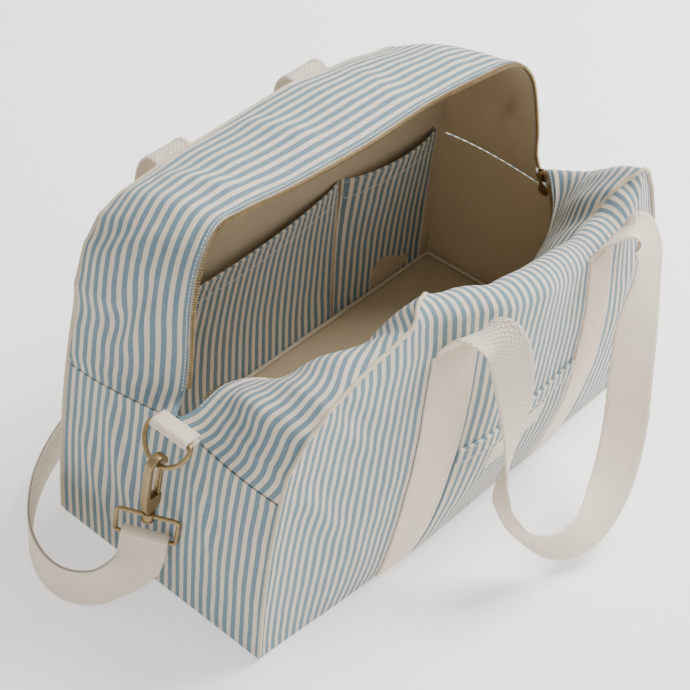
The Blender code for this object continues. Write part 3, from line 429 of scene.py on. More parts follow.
def zip_edges() -> tuple:
    """The two teeth lines: the back one stands up in an arch, the front one drops into the bag.

    Returns:
        The back line and the front line.
    """
    left, right = end_point(-1), end_point(1)
    top = BACK_HEIGHT + 0.003
    low = END_HEIGHT
    half = np.array([0, 0.0006, 0])
    back = [left + half, (-HALF + 0.029, -0.0015, low + 0.022), (-HALF + 0.036, 0.001, low + 0.052),
            (-HALF + 0.039, 0.002, low + 0.104), (-HALF + 0.050, 0.005, top - 0.016),
            (-HALF + 0.072, 0.010, top + 0.003), (-HALF + 0.100, 0.011, top + 0.002),
            (-0.34 * HALF, 0.010, top - 0.004), (0.0, 0.006, top - 0.004), (0.3 * HALF, 0.004, top),
            (HALF - 0.105, 0.001, top - 0.002), (HALF - 0.061, 0.0, top - 0.009),
            (HALF - 0.037, 0.0, top - 0.028), (HALF - 0.022, 0.0, top - 0.056),
            (HALF - 0.008, 0.0, low + 0.048), (HALF - 0.003, 0.0, low + 0.018), right + half]
    front = [left - half, (-HALF + 0.031, -0.0105, low + 0.022), (-HALF + 0.052, -0.014, low + 0.030),
             (-HALF + 0.073, -0.023, low + 0.028), (-HALF + 0.089, -0.034, low + 0.018),
             (-HALF + 0.113, -0.044, low - 0.008), (-HALF + 0.153, -0.047, low - 0.050),
             (-0.1 * HALF, -0.044, low - 0.082), (0.25 * HALF, -0.044, low - 0.090),
             (HALF - 0.105, -0.048, low - 0.068), (HALF - 0.058, -0.052, low - 0.028),
             (HALF - 0.035, -0.042, low - 0.006), (HALF - 0.018, -0.024, low + 0.006),
             (HALF - 0.005, -0.0085, low + 0.010), right - half]
    return Path(back), Path(front)


BACK_SEAM = arch(back_panel, back_top, back_share)
FRONT_SEAM = arch(front_panel, front_top, front_share)
BACK_ZIP, FRONT_ZIP = zip_edges()


def strip(seam: Path, edge: Path, crest: Callable, lift: Callable) -> Surface:
    """Surface between a panel's seam (v=0) and its teeth line (v=1), crowned by crest(q) towards lift(q)."""

    def surface(q: float, v: float) -> Array:
        """The strip's point at a share along it and a share across it."""
        a, b = seam.at(q), edge.at(q)
        across = unit(b - a)
        up = lift(q)
        up = unit(up - across * up.dot(across))
        return a + (b - a) * v + up * crest(q) * math.sin(math.pi * v ** 0.8)

    return surface


def blend_of(stations: Stations, q: float) -> Array:
    """A direction at q between given (q, direction) stations."""
    return np.array([knots([(s[0], s[1][k]) for s in stations], q) for k in range(3)])


def back_crest(q: float) -> float:
    """How far the back strip bows up between its seam and its teeth."""
    return knots([(0.0, 0.004), (0.15, 0.010), (0.5, 0.008), (0.85, 0.010), (1.0, 0.004)], q)


def back_lift(q: float) -> Array:
    """Which way the back strip bows."""
    return blend_of([(0.0, (-1.0, 0.0, 0.1)), (0.14, (-0.9, 0.0, 0.4)), (0.26, (0.0, 0.0, 1.0)),
                     (0.74, (0.0, 0.0, 1.0)), (0.88, (0.9, 0.0, 0.4)), (1.0, (1.0, 0.0, 0.1))], q)


def front_crest(q: float) -> float:
    """How far the front strip bows between its seam and its teeth."""
    share_of = [(0.0, 0.2), (0.10, 0.6), (0.20, 1.1), (0.28, 0.8), (0.38, 0.4), (0.55, 0.3), (0.70, 0.4),
                (0.80, 0.7), (0.90, 0.9), (1.0, 0.2)]
    return STRIP_CREST * knots(share_of, q)


def front_lift(q: float) -> Array:
    """Which way the front strip bows."""
    return blend_of([(0.0, (-1.0, 0.0, 0.2)), (0.10, (-0.5, 0.0, 0.85)), (0.20, (0.0, 0.2, 1.0)),
                     (0.42, (0.0, 1.0, 0.4)), (0.65, (0.0, 1.0, 0.4)), (0.80, (0.0, 0.5, 0.9)),
                     (0.90, (0.4, 0.1, 0.9)), (1.0, (1.0, 0.0, 0.1))], q)


BACK_STRIP = strip(BACK_SEAM, BACK_ZIP, back_crest, back_lift)
FRONT_STRIP = strip(FRONT_SEAM, FRONT_ZIP, front_crest, front_lift)


def end_panel(side: int) -> Surface:
    """Coons patch inside the floor edge, the two upright seams and the end seam; w runs back to front.

    Args:
        side: -1 for the left end, 1 for the right.

    Returns:
        The end cloth's surface.
    """
    q = 0.0 if side < 0 else 1.0
    u = 0.0 if side < 0 else 1.0

    def upper(w: float) -> Array:
        """The end seam, from the back corner to the front one."""
        return BACK_STRIP(q, 2 * w) if w < 0.5 else FRONT_STRIP(q, 2 - 2 * w)

    def back(v: float) -> Array:
        """The back corner seam."""
        return back_panel(u, back_share(side * HALF, v * end_height(side)))

    def front(v: float) -> Array:
        """The front corner seam."""
        return front_panel(u, front_share(side * HALF, v * end_height(side)))

    def surface(w: float, v: float) -> Array:
        """The end cloth's point at a share across and a share up."""
        floor = back(0) * (1 - w) + front(0) * w
        mix = (1 - v) * floor + v * upper(w) + (1 - w) * back(v) + w * front(v)
        corners = ((1 - w) * (1 - v) * back(0) + w * (1 - v) * front(0)
                   + (1 - w) * v * upper(0.0) + w * v * upper(1.0))
        swell = END_SWELL * math.sin(math.pi * v) * math.sin(math.pi * w)
        return mix - corners + np.array([side * swell, 0, 0])

    return surface


# ---------------------------------------------------------------- finishes
class Threads(Enum):
    """How a woven piece's threads show: pitch across and along, in metres."""

    CANVAS = (0.00085, 0.00085)
    TWILL = (0.0011, 0.0022)
    BASKET = (0.0023, 0.0023)


def node_at(tree: bpy.types.NodeTree, kind: str, **settings) -> bpy.types.Node:
    """A new node with its settings applied.

    Args:
        tree: The tree that it goes in.
        kind: Its Blender class name.
        settings: Attributes to set, such as operation.
    Returns:
        The node.
    """
    made = tree.nodes.new(kind)
    for name, value in settings.items():
        setattr(made, name, value)
    return made


def maths(tree: bpy.types.NodeTree, operation: str, *values) -> bpy.types.NodeSocket:
    """The result socket of a Math node whose inputs are sockets or numbers.

    Args:
        tree: The tree that gets the node.
        operation: The node's operation.
        values: Sockets or numbers.

    Returns:
        The result.
    """
    made = node_at(tree, "ShaderNodeMath", operation=operation)
    for place, value in enumerate(values):
        if isinstance(value, (int, float)):
            made.inputs[place].default_value = value
        else:
            tree.links.new(value, made.inputs[place])
    return made.outputs[0]


def group_of(name: str, inputs: Sequence[tuple], outputs: Sequence[tuple]) -> tuple:
    """A new shader node group with its sockets; returns the tree, its input node and its output node.

    Args:
        name: The group's name.
        inputs: Its inputs, each a label and a kind.
        outputs: Its outputs, in the same way.

    Returns:
        The tree and its two end nodes.
    """
    tree = bpy.data.node_groups.new(name, "ShaderNodeTree")
    for label, kind in inputs:
        tree.interface.new_socket(label, in_out="INPUT", socket_type=kind)
    for label, kind in outputs:
        tree.interface.new_socket(label, in_out="OUTPUT", socket_type=kind)
    return tree, tree.nodes.new("NodeGroupInput"), tree.nodes.new("NodeGroupOutput")


def weave_group() -> bpy.types.NodeTree:
    """Threads over and under each other: a height, and flecks where thick places in the yarn show.

    Returns:
        The group.
    """
    tree, given, out = group_of("weave", [("Vector", "NodeSocketVector"), ("Across", "NodeSocketFloat"),
                                          ("Along", "NodeSocketFloat")],
                                [("Height", "NodeSocketFloat"), ("Fleck", "NodeSocketFloat")])
    split = node_at(tree, "ShaderNodeSeparateXYZ")
    tree.links.new(given.outputs["Vector"], split.inputs[0])
    x = maths(tree, "DIVIDE", split.outputs[0], given.outputs["Across"])
    y = maths(tree, "DIVIDE", split.outputs[1], given.outputs["Along"])
    over = maths(tree, "ABSOLUTE", maths(tree, "SINE", maths(tree, "MULTIPLY", x, math.pi)))
    under = maths(tree, "ABSOLUTE", maths(tree, "SINE", maths(tree, "MULTIPLY", y, math.pi)))
    check = maths(tree, "MODULO", maths(tree, "ADD", maths(tree, "FLOOR", x), maths(tree, "FLOOR", y)), 2.0)
    check = maths(tree, "ABSOLUTE", check)
    height = maths(tree, "ADD", maths(tree, "MULTIPLY", over, check),
                   maths(tree, "MULTIPLY", under, maths(tree, "SUBTRACT", 1.0, check)))
    tree.links.new(height, out.inputs["Height"])
    stretch = node_at(tree, "ShaderNodeMapping")
    stretch.inputs["Scale"].default_value = (900.0, 160.0, 1.0)
    tree.links.new(given.outputs["Vector"], stretch.inputs["Vector"])
    slub = node_at(tree, "ShaderNodeTexNoise")
    slub.inputs["Scale"].default_value = 1.0
    slub.inputs["Detail"].default_value = 3.0
    tree.links.new(stretch.outputs[0], slub.inputs["Vector"])
    tree.links.new(slub.outputs[0], out.inputs["Fleck"])
    return tree


def stripe_group() -> bpy.types.NodeTree:
    """Stripes across X: one where the coloured band shows, with woven, slightly uneven edges.

    Returns:
        The group.
    """
    tree, given, out = group_of("stripes", [("Vector", "NodeSocketVector"), ("Pitch", "NodeSocketFloat"),
                                            ("Share", "NodeSocketFloat"), ("Edge", "NodeSocketFloat")],
                                [("Mask", "NodeSocketFloat")])
    wander = node_at(tree, "ShaderNodeTexNoise")
    wander.inputs["Scale"].default_value = 45.0
    wander.inputs["Detail"].default_value = 1.0
    tree.links.new(given.outputs["Vector"], wander.inputs["Vector"])
    split = node_at(tree, "ShaderNodeSeparateXYZ")
    tree.links.new(given.outputs["Vector"], split.inputs[0])
    x = maths(tree, "DIVIDE", split.outputs[0], given.outputs["Pitch"])
    x = maths(tree, "ADD", x, maths(tree, "MULTIPLY", maths(tree, "SUBTRACT", wander.outputs[0], 0.5), 0.10))
    away = maths(tree, "ABSOLUTE", maths(tree, "SUBTRACT", maths(tree, "FRACT", x), 0.5))
    half = maths(tree, "MULTIPLY", given.outputs["Share"], 0.5)
    ramp = node_at(tree, "ShaderNodeMapRange", interpolation_type="SMOOTHSTEP")
    tree.links.new(away, ramp.inputs["Value"])
    tree.links.new(maths(tree, "ADD", half, given.outputs["Edge"]), ramp.inputs["From Min"])
    tree.links.new(maths(tree, "SUBTRACT", half, given.outputs["Edge"]), ramp.inputs["From Max"])
    tree.links.new(ramp.outputs[0], out.inputs["Mask"])
    return tree


@dataclass(frozen=True)
class Woven:
    """A woven finish: its thread colours, thread size, relief, the band colour if striped, and how strong its
    painted shade in the weave hollows and its slub tone are.
    """

    name: str
    ground: tuple
    threads: Threads
    relief: float
    band: tuple | None = None
    rough: float = 0.9
    shade: float = 0.10

    def material(self) -> bpy.types.Material:
        """Makes the material, once.

        Returns:
            The material.
        """
        found = bpy.data.materials.get(self.name)
        if found:
            return found
        made = bpy.data.materials.new(self.name)
        made.use_nodes = True
        tree = made.node_tree
        shader = tree.nodes["Principled BSDF"]
        shader.inputs["Roughness"].default_value = self.rough
        shader.inputs["Sheen Weight"].default_value = 0.15
        shader.inputs["Sheen Roughness"].default_value = 0.5
        shader.inputs["Specular IOR Level"].default_value = 0.2
        spread = node_at(tree, "ShaderNodeUVMap", uv_map="cloth").outputs[0]
        weave = node_at(tree, "ShaderNodeGroup", node_tree=bpy.data.node_groups["weave"])
        tree.links.new(spread, weave.inputs["Vector"])
        weave.inputs["Across"].default_value, weave.inputs["Along"].default_value = self.threads.value
        colour = node_at(tree, "ShaderNodeMix", data_type="RGBA")
        colour.inputs["A"].default_value = colour.inputs["B"].default_value = (*self.ground, 1.0)
        if self.band:
            colour.inputs["B"].default_value = (*self.band, 1.0)
            stripes = node_at(tree, "ShaderNodeGroup", node_tree=bpy.data.node_groups["stripes"])
            tree.links.new(spread, stripes.inputs["Vector"])
            stripes.inputs["Pitch"].default_value = STRIPE_PITCH
            stripes.inputs["Share"].default_value = BLUE_SHARE
            stripes.inputs["Edge"].default_value = 0.035
            flecked = maths(tree, "SUBTRACT", 1.14, maths(tree, "MULTIPLY", weave.outputs["Fleck"], 0.42))
            tree.links.new(maths(tree, "MULTIPLY", stripes.outputs["Mask"], flecked), colour.inputs["Factor"])
        else:
            colour.inputs["Factor"].default_value = 0.0
        # Painted shade: the base colour is darkened in the weave's hollows, where the height is low; the slub
        # flecks add real tone variation on top.
        darker = node_at(tree, "ShaderNodeMix", data_type="RGBA", blend_type="MULTIPLY")
        darker.inputs["B"].default_value = (0.45, 0.42, 0.38, 1.0)
        hollow_shade = maths(tree, "SUBTRACT", 1.0, weave.outputs["Height"])
        uneven = maths(tree, "MULTIPLY", weave.outputs["Fleck"], self.shade)
        tree.links.new(maths(tree, "ADD", maths(tree, "MULTIPLY", hollow_shade, 2.6 * self.shade), uneven),
                       darker.inputs["Factor"])
        tree.links.new(colour.outputs["Result"], darker.inputs["A"])
        tree.links.new(darker.outputs["Result"], shader.inputs["Base Color"])
        bump = node_at(tree, "ShaderNodeBump")
        bump.inputs["Strength"].default_value = 0.75
        bump.inputs["Distance"].default_value = self.relief
        slub = maths(tree, "MULTIPLY", weave.outputs["Fleck"], 0.5)
        height = maths(tree, "ADD", weave.outputs["Height"], slub)
        tree.links.new(height, bump.inputs["Height"])
        tree.links.new(bump.outputs[0], shader.inputs["Normal"])
        return made


@dataclass(frozen=True)
class Metal:
    """A plated metal finish with darker, rougher patches where it has worn."""

    name: str
    colour: tuple
    worn: tuple
    rough: float

    def material(self) -> bpy.types.Material:
        """Makes the material, once.

        Returns:
            The material.
        """
        found = bpy.data.materials.get(self.name)
        if found:
            return found
        made = bpy.data.materials.new(self.name)
        made.use_nodes = True
        tree = made.node_tree
        shader = tree.nodes["Principled BSDF"]
        shader.inputs["Metallic"].default_value = 1.0
        place = node_at(tree, "ShaderNodeTexCoord").outputs["Object"]
        patches = node_at(tree, "ShaderNodeTexNoise")
        patches.inputs["Scale"].default_value = 160.0
        patches.inputs["Detail"].default_value = 5.0
        tree.links.new(place, patches.inputs["Vector"])
        colour = node_at(tree, "ShaderNodeMix", data_type="RGBA")
        colour.inputs["A"].default_value = (*self.colour, 1.0)
        colour.inputs["B"].default_value = (*self.worn, 1.0)
        tree.links.new(patches.outputs[0], colour.inputs["Factor"])
        tree.links.new(colour.outputs["Result"], shader.inputs["Base Color"])
        rough = node_at(tree, "ShaderNodeMapRange")
        rough.inputs["To Min"].default_value = self.rough
        rough.inputs["To Max"].default_value = self.rough + 0.25
        tree.links.new(patches.outputs[0], rough.inputs["Value"])
        tree.links.new(rough.outputs[0], shader.inputs["Roughness"])
        return made


@dataclass(frozen=True)
class Plain:
    """A plain matt finish."""

    name: str
    colour: tuple
    rough: float = 0.8

    def material(self) -> bpy.types.Material:
        """Makes the material, once.

        Returns:
            The material.
        """
        found = bpy.data.materials.get(self.name)
        if found:
            return found
        made = bpy.data.materials.new(self.name)
        made.use_nodes = True
        shader = made.node_tree.nodes["Principled BSDF"]
        shader.inputs["Base Color"].default_value = (*self.colour, 1.0)
        shader.inputs["Roughness"].default_value = self.rough
        return made


Finish = Woven | Metal | Plain

CREAM = (0.84, 0.73, 0.58)
STRIPED = Woven("striped_canvas", CREAM, Threads.CANVAS, 0.00030, band=(0.140, 0.250, 0.320))
NATURAL = Woven("natural_canvas", (0.70, 0.56, 0.36), Threads.CANVAS, 0.00030, shade=0.14)
BOUND = Woven("seam_tape", (0.66, 0.57, 0.42), Threads.TWILL, 0.00030, shade=0.12)
TWILL = Woven("webbing_face", (0.92, 0.79, 0.63), Threads.TWILL, 0.00045)
BASKET = Woven("webbing_back", (0.84, 0.73, 0.59), Threads.BASKET, 0.00090, shade=0.16)
TAPE = Woven("zip_tape", (0.72, 0.66, 0.56), Threads.CANVAS, 0.00020)
LABEL_CLOTH = Woven("label_cloth", (0.80, 0.74, 0.62), Threads.CANVAS, 0.00015)
THREAD_WHITE = Plain("sewing_thread", (0.80, 0.74, 0.64))
# Painted shade: a dark sheet between the shoulder strap's two layers stands for the shadow in the gap between
# them.
STRAP_GAP_SHADE = Plain("strap_middle", (0.22, 0.13, 0.07))
BRASS = Metal("antique_brass", (0.46, 0.34, 0.17), (0.20, 0.14, 0.07), 0.26)
TEETH = Metal("zip_teeth_metal", (0.50, 0.37, 0.19), (0.24, 0.17, 0.09), 0.30)


# ---------------------------------------------------------------- relief
@dataclass(frozen=True)
class Crease:
    """A fold in cloth along a line: a rounded ridge, with a valley beside it if it is skewed.

    Attributes:
        start: One end, in metres.
        end: The other end.
        width: Half its breadth.
        depth: How far it stands out of the cloth; negative is a dent.
        skew: Share of the height that the valley beside it sinks.
    """

    start: tuple
    end: tuple
    width: float
    depth: float
    skew: float = 0.0

    def at(self, points: Array, normals: Array) -> Array:
        """Its height at each of the points.

        Args:
            points: Places on the cloth.
            normals: The way off it at each.

        Returns:
            The heights.
        """
        a, b = np.array(self.start, float), np.array(self.end, float)
        along = b - a
        t = np.clip((points - a) @ along / (along @ along), 0.0, 1.0)
        away = points - a - t[..., None] * along
        side = np.cross(normals, along / np.linalg.norm(along))
        signed = np.sum(away * side, axis=-1) / self.width
        far = np.linalg.norm(away, axis=-1) / self.width
        ends = 1.0 - np.abs(2 * t - 1) ** 3
        valley = np.exp(-((signed - 1.5) ** 2)) * (far < 4)
        return self.depth * ends * (np.exp(-far ** 2) - self.skew * valley)


@dataclass(frozen=True)
class Ripple:
    """Soft uneven waves all over a piece."""

    size: float
    depth: float
    seed: float = 0.0
    squeeze: tuple = (1.0, 1.0, 1.0)

    def at(self, points: Array, normals: Array) -> Array:
        """Its height at each of the points."""
        flat = points.reshape(-1, 3) * np.array(self.squeeze) / self.size + self.seed
        return self.depth * np.array([noise.noise(Vector(p)) for p in flat]).reshape(points.shape[:-1])


# ---------------------------------------------------------------- meshes
def spread(low: float, high: float, count: int) -> Array:
    """Evenly spaced values from low to high."""
    return np.linspace(low, high, count + 1)


def piece_from(name: str, verts: Array, faces: list, finishes: Sequence, indices: Sequence[int] | None = None,
               uvs: Array | None = None, smooth: float = 40.0) -> bpy.types.Object:
    """A mesh object in the row frame.

    Args:
        name: Its name.
        verts: Its points.
        faces: Its faces, as lists of points.
        finishes: Its finishes, in slot order.
        indices: The slot of each face.
        uvs: Each point's place on the cloth, in metres.
        smooth: Edges sharper than this, in degrees, stay sharp.
    Returns:
        The object.
    """
    mesh = bpy.data.meshes.new(name)
    mesh.from_pydata([tuple(map(float, v)) for v in verts], [], [tuple(map(int, f)) for f in faces])
    for finish in finishes:
        mesh.materials.append(finish.material())
    if indices is not None:
        mesh.polygons.foreach_set("material_index", np.array(indices, np.int32))
    layer = mesh.uv_layers.new(name="cloth")
    if uvs is not None:
        loops = np.empty(len(mesh.loops), np.int32)
        mesh.loops.foreach_get("vertex_index", loops)
        layer.data.foreach_set("uv", np.asarray(uvs, np.float32)[loops].ravel())
    mesh.shade_smooth()
    mesh.set_sharp_from_angle(angle=math.radians(smooth))
    made = bpy.data.objects.new(name, mesh)
    bpy.context.scene.collection.objects.link(made)
    return made


def finish_piece(piece: bpy.types.Object, body: str, nodes: Iterable[str]) -> bpy.types.Object:
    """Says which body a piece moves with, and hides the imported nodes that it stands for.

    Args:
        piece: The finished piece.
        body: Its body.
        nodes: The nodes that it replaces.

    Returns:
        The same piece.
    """
    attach(piece, body)
    nodes = list(nodes)
    if nodes:
        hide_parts(*nodes)
    return piece


def face_outwards(piece: bpy.types.Object) -> bpy.types.Object:
    """Turns every face of a closed mesh outwards.

    Args:
        piece: A closed mesh.

    Returns:
        The same piece.
    """
    bm = bmesh.new()
    bm.from_mesh(piece.data)
    bmesh.ops.recalc_face_normals(bm, faces=bm.faces)
    bm.to_mesh(piece.data)
    bm.free()
    return piece


@dataclass
class Cloth:
    """Two-faced cloth laid on a surface.

    Attributes:
        name: Its name.
        surface: The surface it follows, from its two panel coordinates.
        us: Its coordinates one way.
        vs: Its coordinates the other way.
        outward: 1 or -1, so that the outer face looks out of the bag.
        outer, inner: The finishes of its faces.
        relief: Creases and ripples.
        thick: Its thickness, inwards from lift.
        lift: How far its outer face stands off the surface.
        stripes: 0 if the stripes cross the u direction, 1 if they cross v.
        hem: Breadth of a doubled edge at the last v, or 0.
        offset: Where its stripes start.
        fade: Whether its relief dies away at its edges.
    """

    name: str
    surface: Surface
    us: Array
    vs: Array | Callable[[float], Array]
    outward: int
    outer: Woven = STRIPED
    inner: Woven = NATURAL
    relief: Sequence = ()
    thick: float = CLOTH
    lift: float = 0.0
    stripes: int = 0
    hem: float = 0.0
    offset: float = 0.0
    fade: bool = True
    points: Array = field(init=False)
    normals: Array = field(init=False)

    def lay(self) -> None:
        """Reads the surface into a grid of points and normals, its relief applied."""
        rows = [self.vs(u) if callable(self.vs) else self.vs for u in self.us]
        grid = np.array([[self.surface(u, v) for v in row] for u, row in zip(self.us, rows)])
        normal = np.cross(np.gradient(grid, axis=0), np.gradient(grid, axis=1)) * self.outward
        normal /= np.maximum(np.linalg.norm(normal, axis=-1, keepdims=True), 1e-12)
        height = np.zeros(grid.shape[:2])
        for item in self.relief:
            height = height + item.at(grid, normal)
        if self.relief and self.fade:
            inset = [np.minimum(np.arange(n), np.arange(n)[::-1]) / EDGE_FADE for n in grid.shape[:2]]
            height = height * np.clip(np.minimum.outer(*inset), 0.0, 1.0)
        self.points, self.normals = grid + normal * height[..., None], normal

    def build(self) -> bpy.types.Object:
        """Makes the piece.

        Returns:
            The piece.
        """
        self.lay()
        grid, normal = self.points, self.normals
        nu, nv = grid.shape[:2]
        across = np.concatenate([[0], np.cumsum(np.linalg.norm(np.diff(grid[:, nv // 3], axis=0), axis=1))])
        along = np.concatenate([np.zeros((nu, 1)),
                                np.cumsum(np.linalg.norm(np.diff(grid, axis=1), axis=2), axis=1)], axis=1)
        across = across - across[nu // 2]
        if self.stripes:
            uv = np.stack([along[:, -1:] - along + self.offset, np.repeat(across[:, None], nv, 1)], -1)
        else:
            uv = np.stack([np.repeat(across[:, None], nv, 1) + self.offset, along], -1)
        thick = np.full((nu, nv), self.thick)
        if self.hem:
            thick = thick + HEM_RISE * np.clip((self.hem - (along[:, -1:] - along)) / 0.0012 + 0.5, 0.0, 1.0)
        extra = (thick - self.thick)[..., None]
        outer = grid + normal * (self.lift + extra)
        inner = grid + normal * (self.lift - self.thick)
        verts = np.concatenate([outer.reshape(-1, 3), inner.reshape(-1, 3)])
        uvs = np.concatenate([uv.reshape(-1, 2)] * 2)
        index = np.arange(nu * nv).reshape(nu, nv)
        a, b, c, d = index[:-1, :-1], index[1:, :-1], index[1:, 1:], index[:-1, 1:]
        quads = np.stack([a, b, c, d], -1).reshape(-1, 4)
        back = np.stack([a, d, c, b], -1).reshape(-1, 4) + nu * nv
        if self.outward < 0:
            quads, back = quads[:, ::-1], back[:, ::-1]
        rim = np.concatenate([index[:, 0], index[-1, 1:], index[::-1, -1][1:], index[0, ::-1][1:-1]])
        far = np.roll(rim, -1)
        sides = np.stack([rim, rim + nu * nv, far + nu * nv, far], -1)
        if self.outward < 0:
            sides = sides[:, ::-1]
        faces = [*quads.tolist(), *back.tolist(), *sides.tolist()]
        slots = [0] * len(quads) + [1] * len(back) + [0] * len(sides)
        return piece_from(self.name, verts, faces, (self.outer, self.inner), slots, uvs, 55.0)


def frames(points: Array, closed: bool = False) -> tuple:
    """Tangents and steady side directions along a line of points.

    Args:
        points: The line.
        closed: Whether it is a ring.

    Returns:
        Tangents and side directions, one pair for each point.
    """
    n = len(points)
    if closed:
        tangents = [unit(points[(i + 1) % n] - points[i - 1]) for i in range(n)]
    else:
        tangents = [unit(points[min(i + 1, n - 1)] - points[max(i - 1, 0)]) for i in range(n)]
    seed = np.array([0.31, 0.87, 0.39])
    sides = []
    for t in tangents:
        seed = unit(seed - t * seed.dot(t))
        sides.append(seed)
    if closed:
        last = unit(sides[-1] - tangents[0] * sides[-1].dot(tangents[0]))
        twist = math.atan2(np.cross(last, sides[0]).dot(tangents[0]), last.dot(sides[0]))
        sides = [np.array(Matrix.Rotation(twist * i / n, 3, Vector(t)) @ Vector(s))
                 for i, (t, s) in enumerate(zip(tangents, sides))]
    return tangents, sides


def sweep(name: str, centres: Sequence, across: Sequence, over: Sequence, profile: Sequence[tuple],
          finishes: Sequence, closed: bool = False, slots: Sequence[int] | None = None,
          smooth: float = 40.0) -> bpy.types.Object:
    """A profile of (across, over) pairs carried along centres; slots gives each profile side's finish.

    Args:
        name: Its name.
        centres: The line that carries the profile.
        across: The profile's first direction.
        over: Its second direction.
        profile: The (across, over) pairs.
        finishes: The materials.
        closed: Whether it is a ring.
        slots: Each profile side's finish.
        smooth: Whether its faces shade smoothly.

    Returns:
        The piece.
    """
    centres = np.array(centres)
    across, over, profile = np.array(across), np.array(over), np.array(profile)
    n, m = len(centres), len(profile)
    verts = (centres[:, None] + across[:, None] * profile[None, :, :1] + over[:, None] * profile[None, :, 1:])
    reach = np.concatenate([[0], np.cumsum(np.linalg.norm(np.diff(centres, axis=0), axis=1))])
    uvs = np.stack([np.repeat(profile[None, :, 0], n, 0), np.repeat(reach[:, None], m, 1)], -1)
    faces, chosen = [], []
    for i in range(n if closed else n - 1):
        k = (i + 1) % n
        for j in range(m):
            faces.append((i * m + j, k * m + j, k * m + (j + 1) % m, i * m + (j + 1) % m))
            chosen.append(slots[j] if slots else 0)
    if not closed:
        faces += [tuple(range(m)), tuple(range((n - 1) * m, n * m))]
        chosen += [0, 0]
    made = piece_from(name, verts.reshape(-1, 3), faces, finishes, chosen, uvs.reshape(-1, 2), smooth)
    return face_outwards(made)


def circle(radius: float, count: int, flat: float = 1.0) -> list:
    """A round or flattened profile."""
    return [(radius * math.cos(2 * math.pi * k / count), flat * radius * math.sin(2 * math.pi * k / count))
            for k in range(count)]


def tube(name: str, points: Sequence, radius: float, count: int, finish: Finish, closed: bool = False,
         flat: float = 1.0) -> bpy.types.Object:
    """A round bar along points.

    Args:
        name: Its name.
        points: The bar's middle line.
        radius: Its radius.
        count: How many sides it has.
        finish: Its look.
        closed: Whether it is a ring.
        flat: How far it is flattened.

    Returns:
        The bar.
    """
    points = np.array(points)
    tangents, sides = frames(points, closed)
    over = [np.cross(t, s) for t, s in zip(tangents, sides)]
    return sweep(name, points, sides, over, circle(radius, count, flat), (finish,), closed)


def web_profile(width: float, thick: float) -> tuple:
    """Webbing's section with soft, slightly raised edges, and which finish each of its sides takes.

    Args:
        width: The webbing's breadth.
        thick: Its thickness.

    Returns:
        The outline, and the finish of each of its sides.
    """
    x, y = width / 2, thick / 2
    left = [(-x + 0.0002, y * 0.55), (-x + 0.0009, y), (-x + 0.003, y), (-x + 0.004, y * 0.86),
            (-0.3 * x, y * 0.86)]
    top = left + [(-a, b) for a, b in reversed(left)]
    profile = top + [(a, -b) for a, b in reversed(top)]
    return profile, [0] * (len(top)) + [1] * (len(top) - 1) + [0]


def plate(name: str, outline: Sequence[tuple], thickness: float, place: Array, finish: Finish,
          soft: float = 0.0004) -> bpy.types.Object:
    """A flat outline in (a, h) with rounded edges, extruded evenly about its plane.

    Args:
        name: Its name.
        outline: The flat outline.
        thickness: How thick it is.
        place: Where it stands.
        finish: Its look.
        soft: Its edges' rounding.

    Returns:
        The plate.
    """
    n = len(outline)
    verts = [(place @ np.array([a, side * thickness, h, 1.0]))[:3]
             for side in (-0.5, 0.5) for a, h in outline]
    faces = [tuple(range(n)), tuple(range(n, 2 * n))]
    faces += [(i, (i + 1) % n, n + (i + 1) % n, n + i) for i in range(n)]
    made = face_outwards(piece_from(name, np.array(verts), faces, (finish,)))
    if soft:
        edge = made.modifiers.new("soft_edges", "BEVEL")
        edge.width, edge.segments, edge.limit_method, edge.angle_limit = soft, 3, "ANGLE", math.radians(50)
        apply_modifiers(made)
        made.data.shade_smooth()
        made.data.set_sharp_from_angle(angle=math.radians(50))
    return made


def apply_modifiers(piece: bpy.types.Object) -> bpy.types.Object:
    """Keeps the evaluated mesh and drops the modifiers.

    Args:
        piece: The piece with its modifiers.

    Returns:
        The same piece, a plain mesh.
    """
    bpy.context.view_layer.update()
    shape = bpy.data.meshes.new_from_object(piece.evaluated_get(bpy.context.evaluated_depsgraph_get()))
    piece.modifiers.clear()
    old, piece.data = piece.data, shape
    bpy.data.meshes.remove(old)
    return piece


def combine(target: bpy.types.Object, tool: bpy.types.Object, how: str) -> bpy.types.Object:
    """Joins or cuts the target with a tool piece, which is then removed.

    Args:
        target: The piece that is kept.
        tool: The piece that shapes it.
        how: The kind of join or cut.

    Returns:
        The target.
    """
    step = target.modifiers.new(how.lower(), "BOOLEAN")
    step.operation, step.solver, step.object = how, "EXACT", tool
    apply_modifiers(target)
    bpy.data.objects.remove(tool)
    target.data.shade_smooth()
    target.data.set_sharp_from_angle(angle=math.radians(40))
    return target


def join(name: str, parts: Sequence[bpy.types.Object]) -> bpy.types.Object:
    """One object holding the meshes of several.

    Args:
        name: The new piece's name.
        parts: The pieces that go into it.

    Returns:
        The new piece.
    """
    bm = bmesh.new()
    materials: list = []
    for part in parts:
        shift = []
        for material in part.data.materials:
            if material not in materials:
                materials.append(material)
            shift.append(materials.index(material))
        before = len(bm.faces)
        bm.from_mesh(part.data)
        bm.faces.ensure_lookup_table()
        for face in bm.faces[before:]:
            face.material_index = shift[face.material_index] if shift else 0
    mesh = bpy.data.meshes.new(name)
    bm.to_mesh(mesh)
    bm.free()
    for material in materials:
        mesh.materials.append(material)
    for part in parts:
        bpy.data.objects.remove(part)
    made = bpy.data.objects.new(name, mesh)
    bpy.context.scene.collection.objects.link(made)
    return made


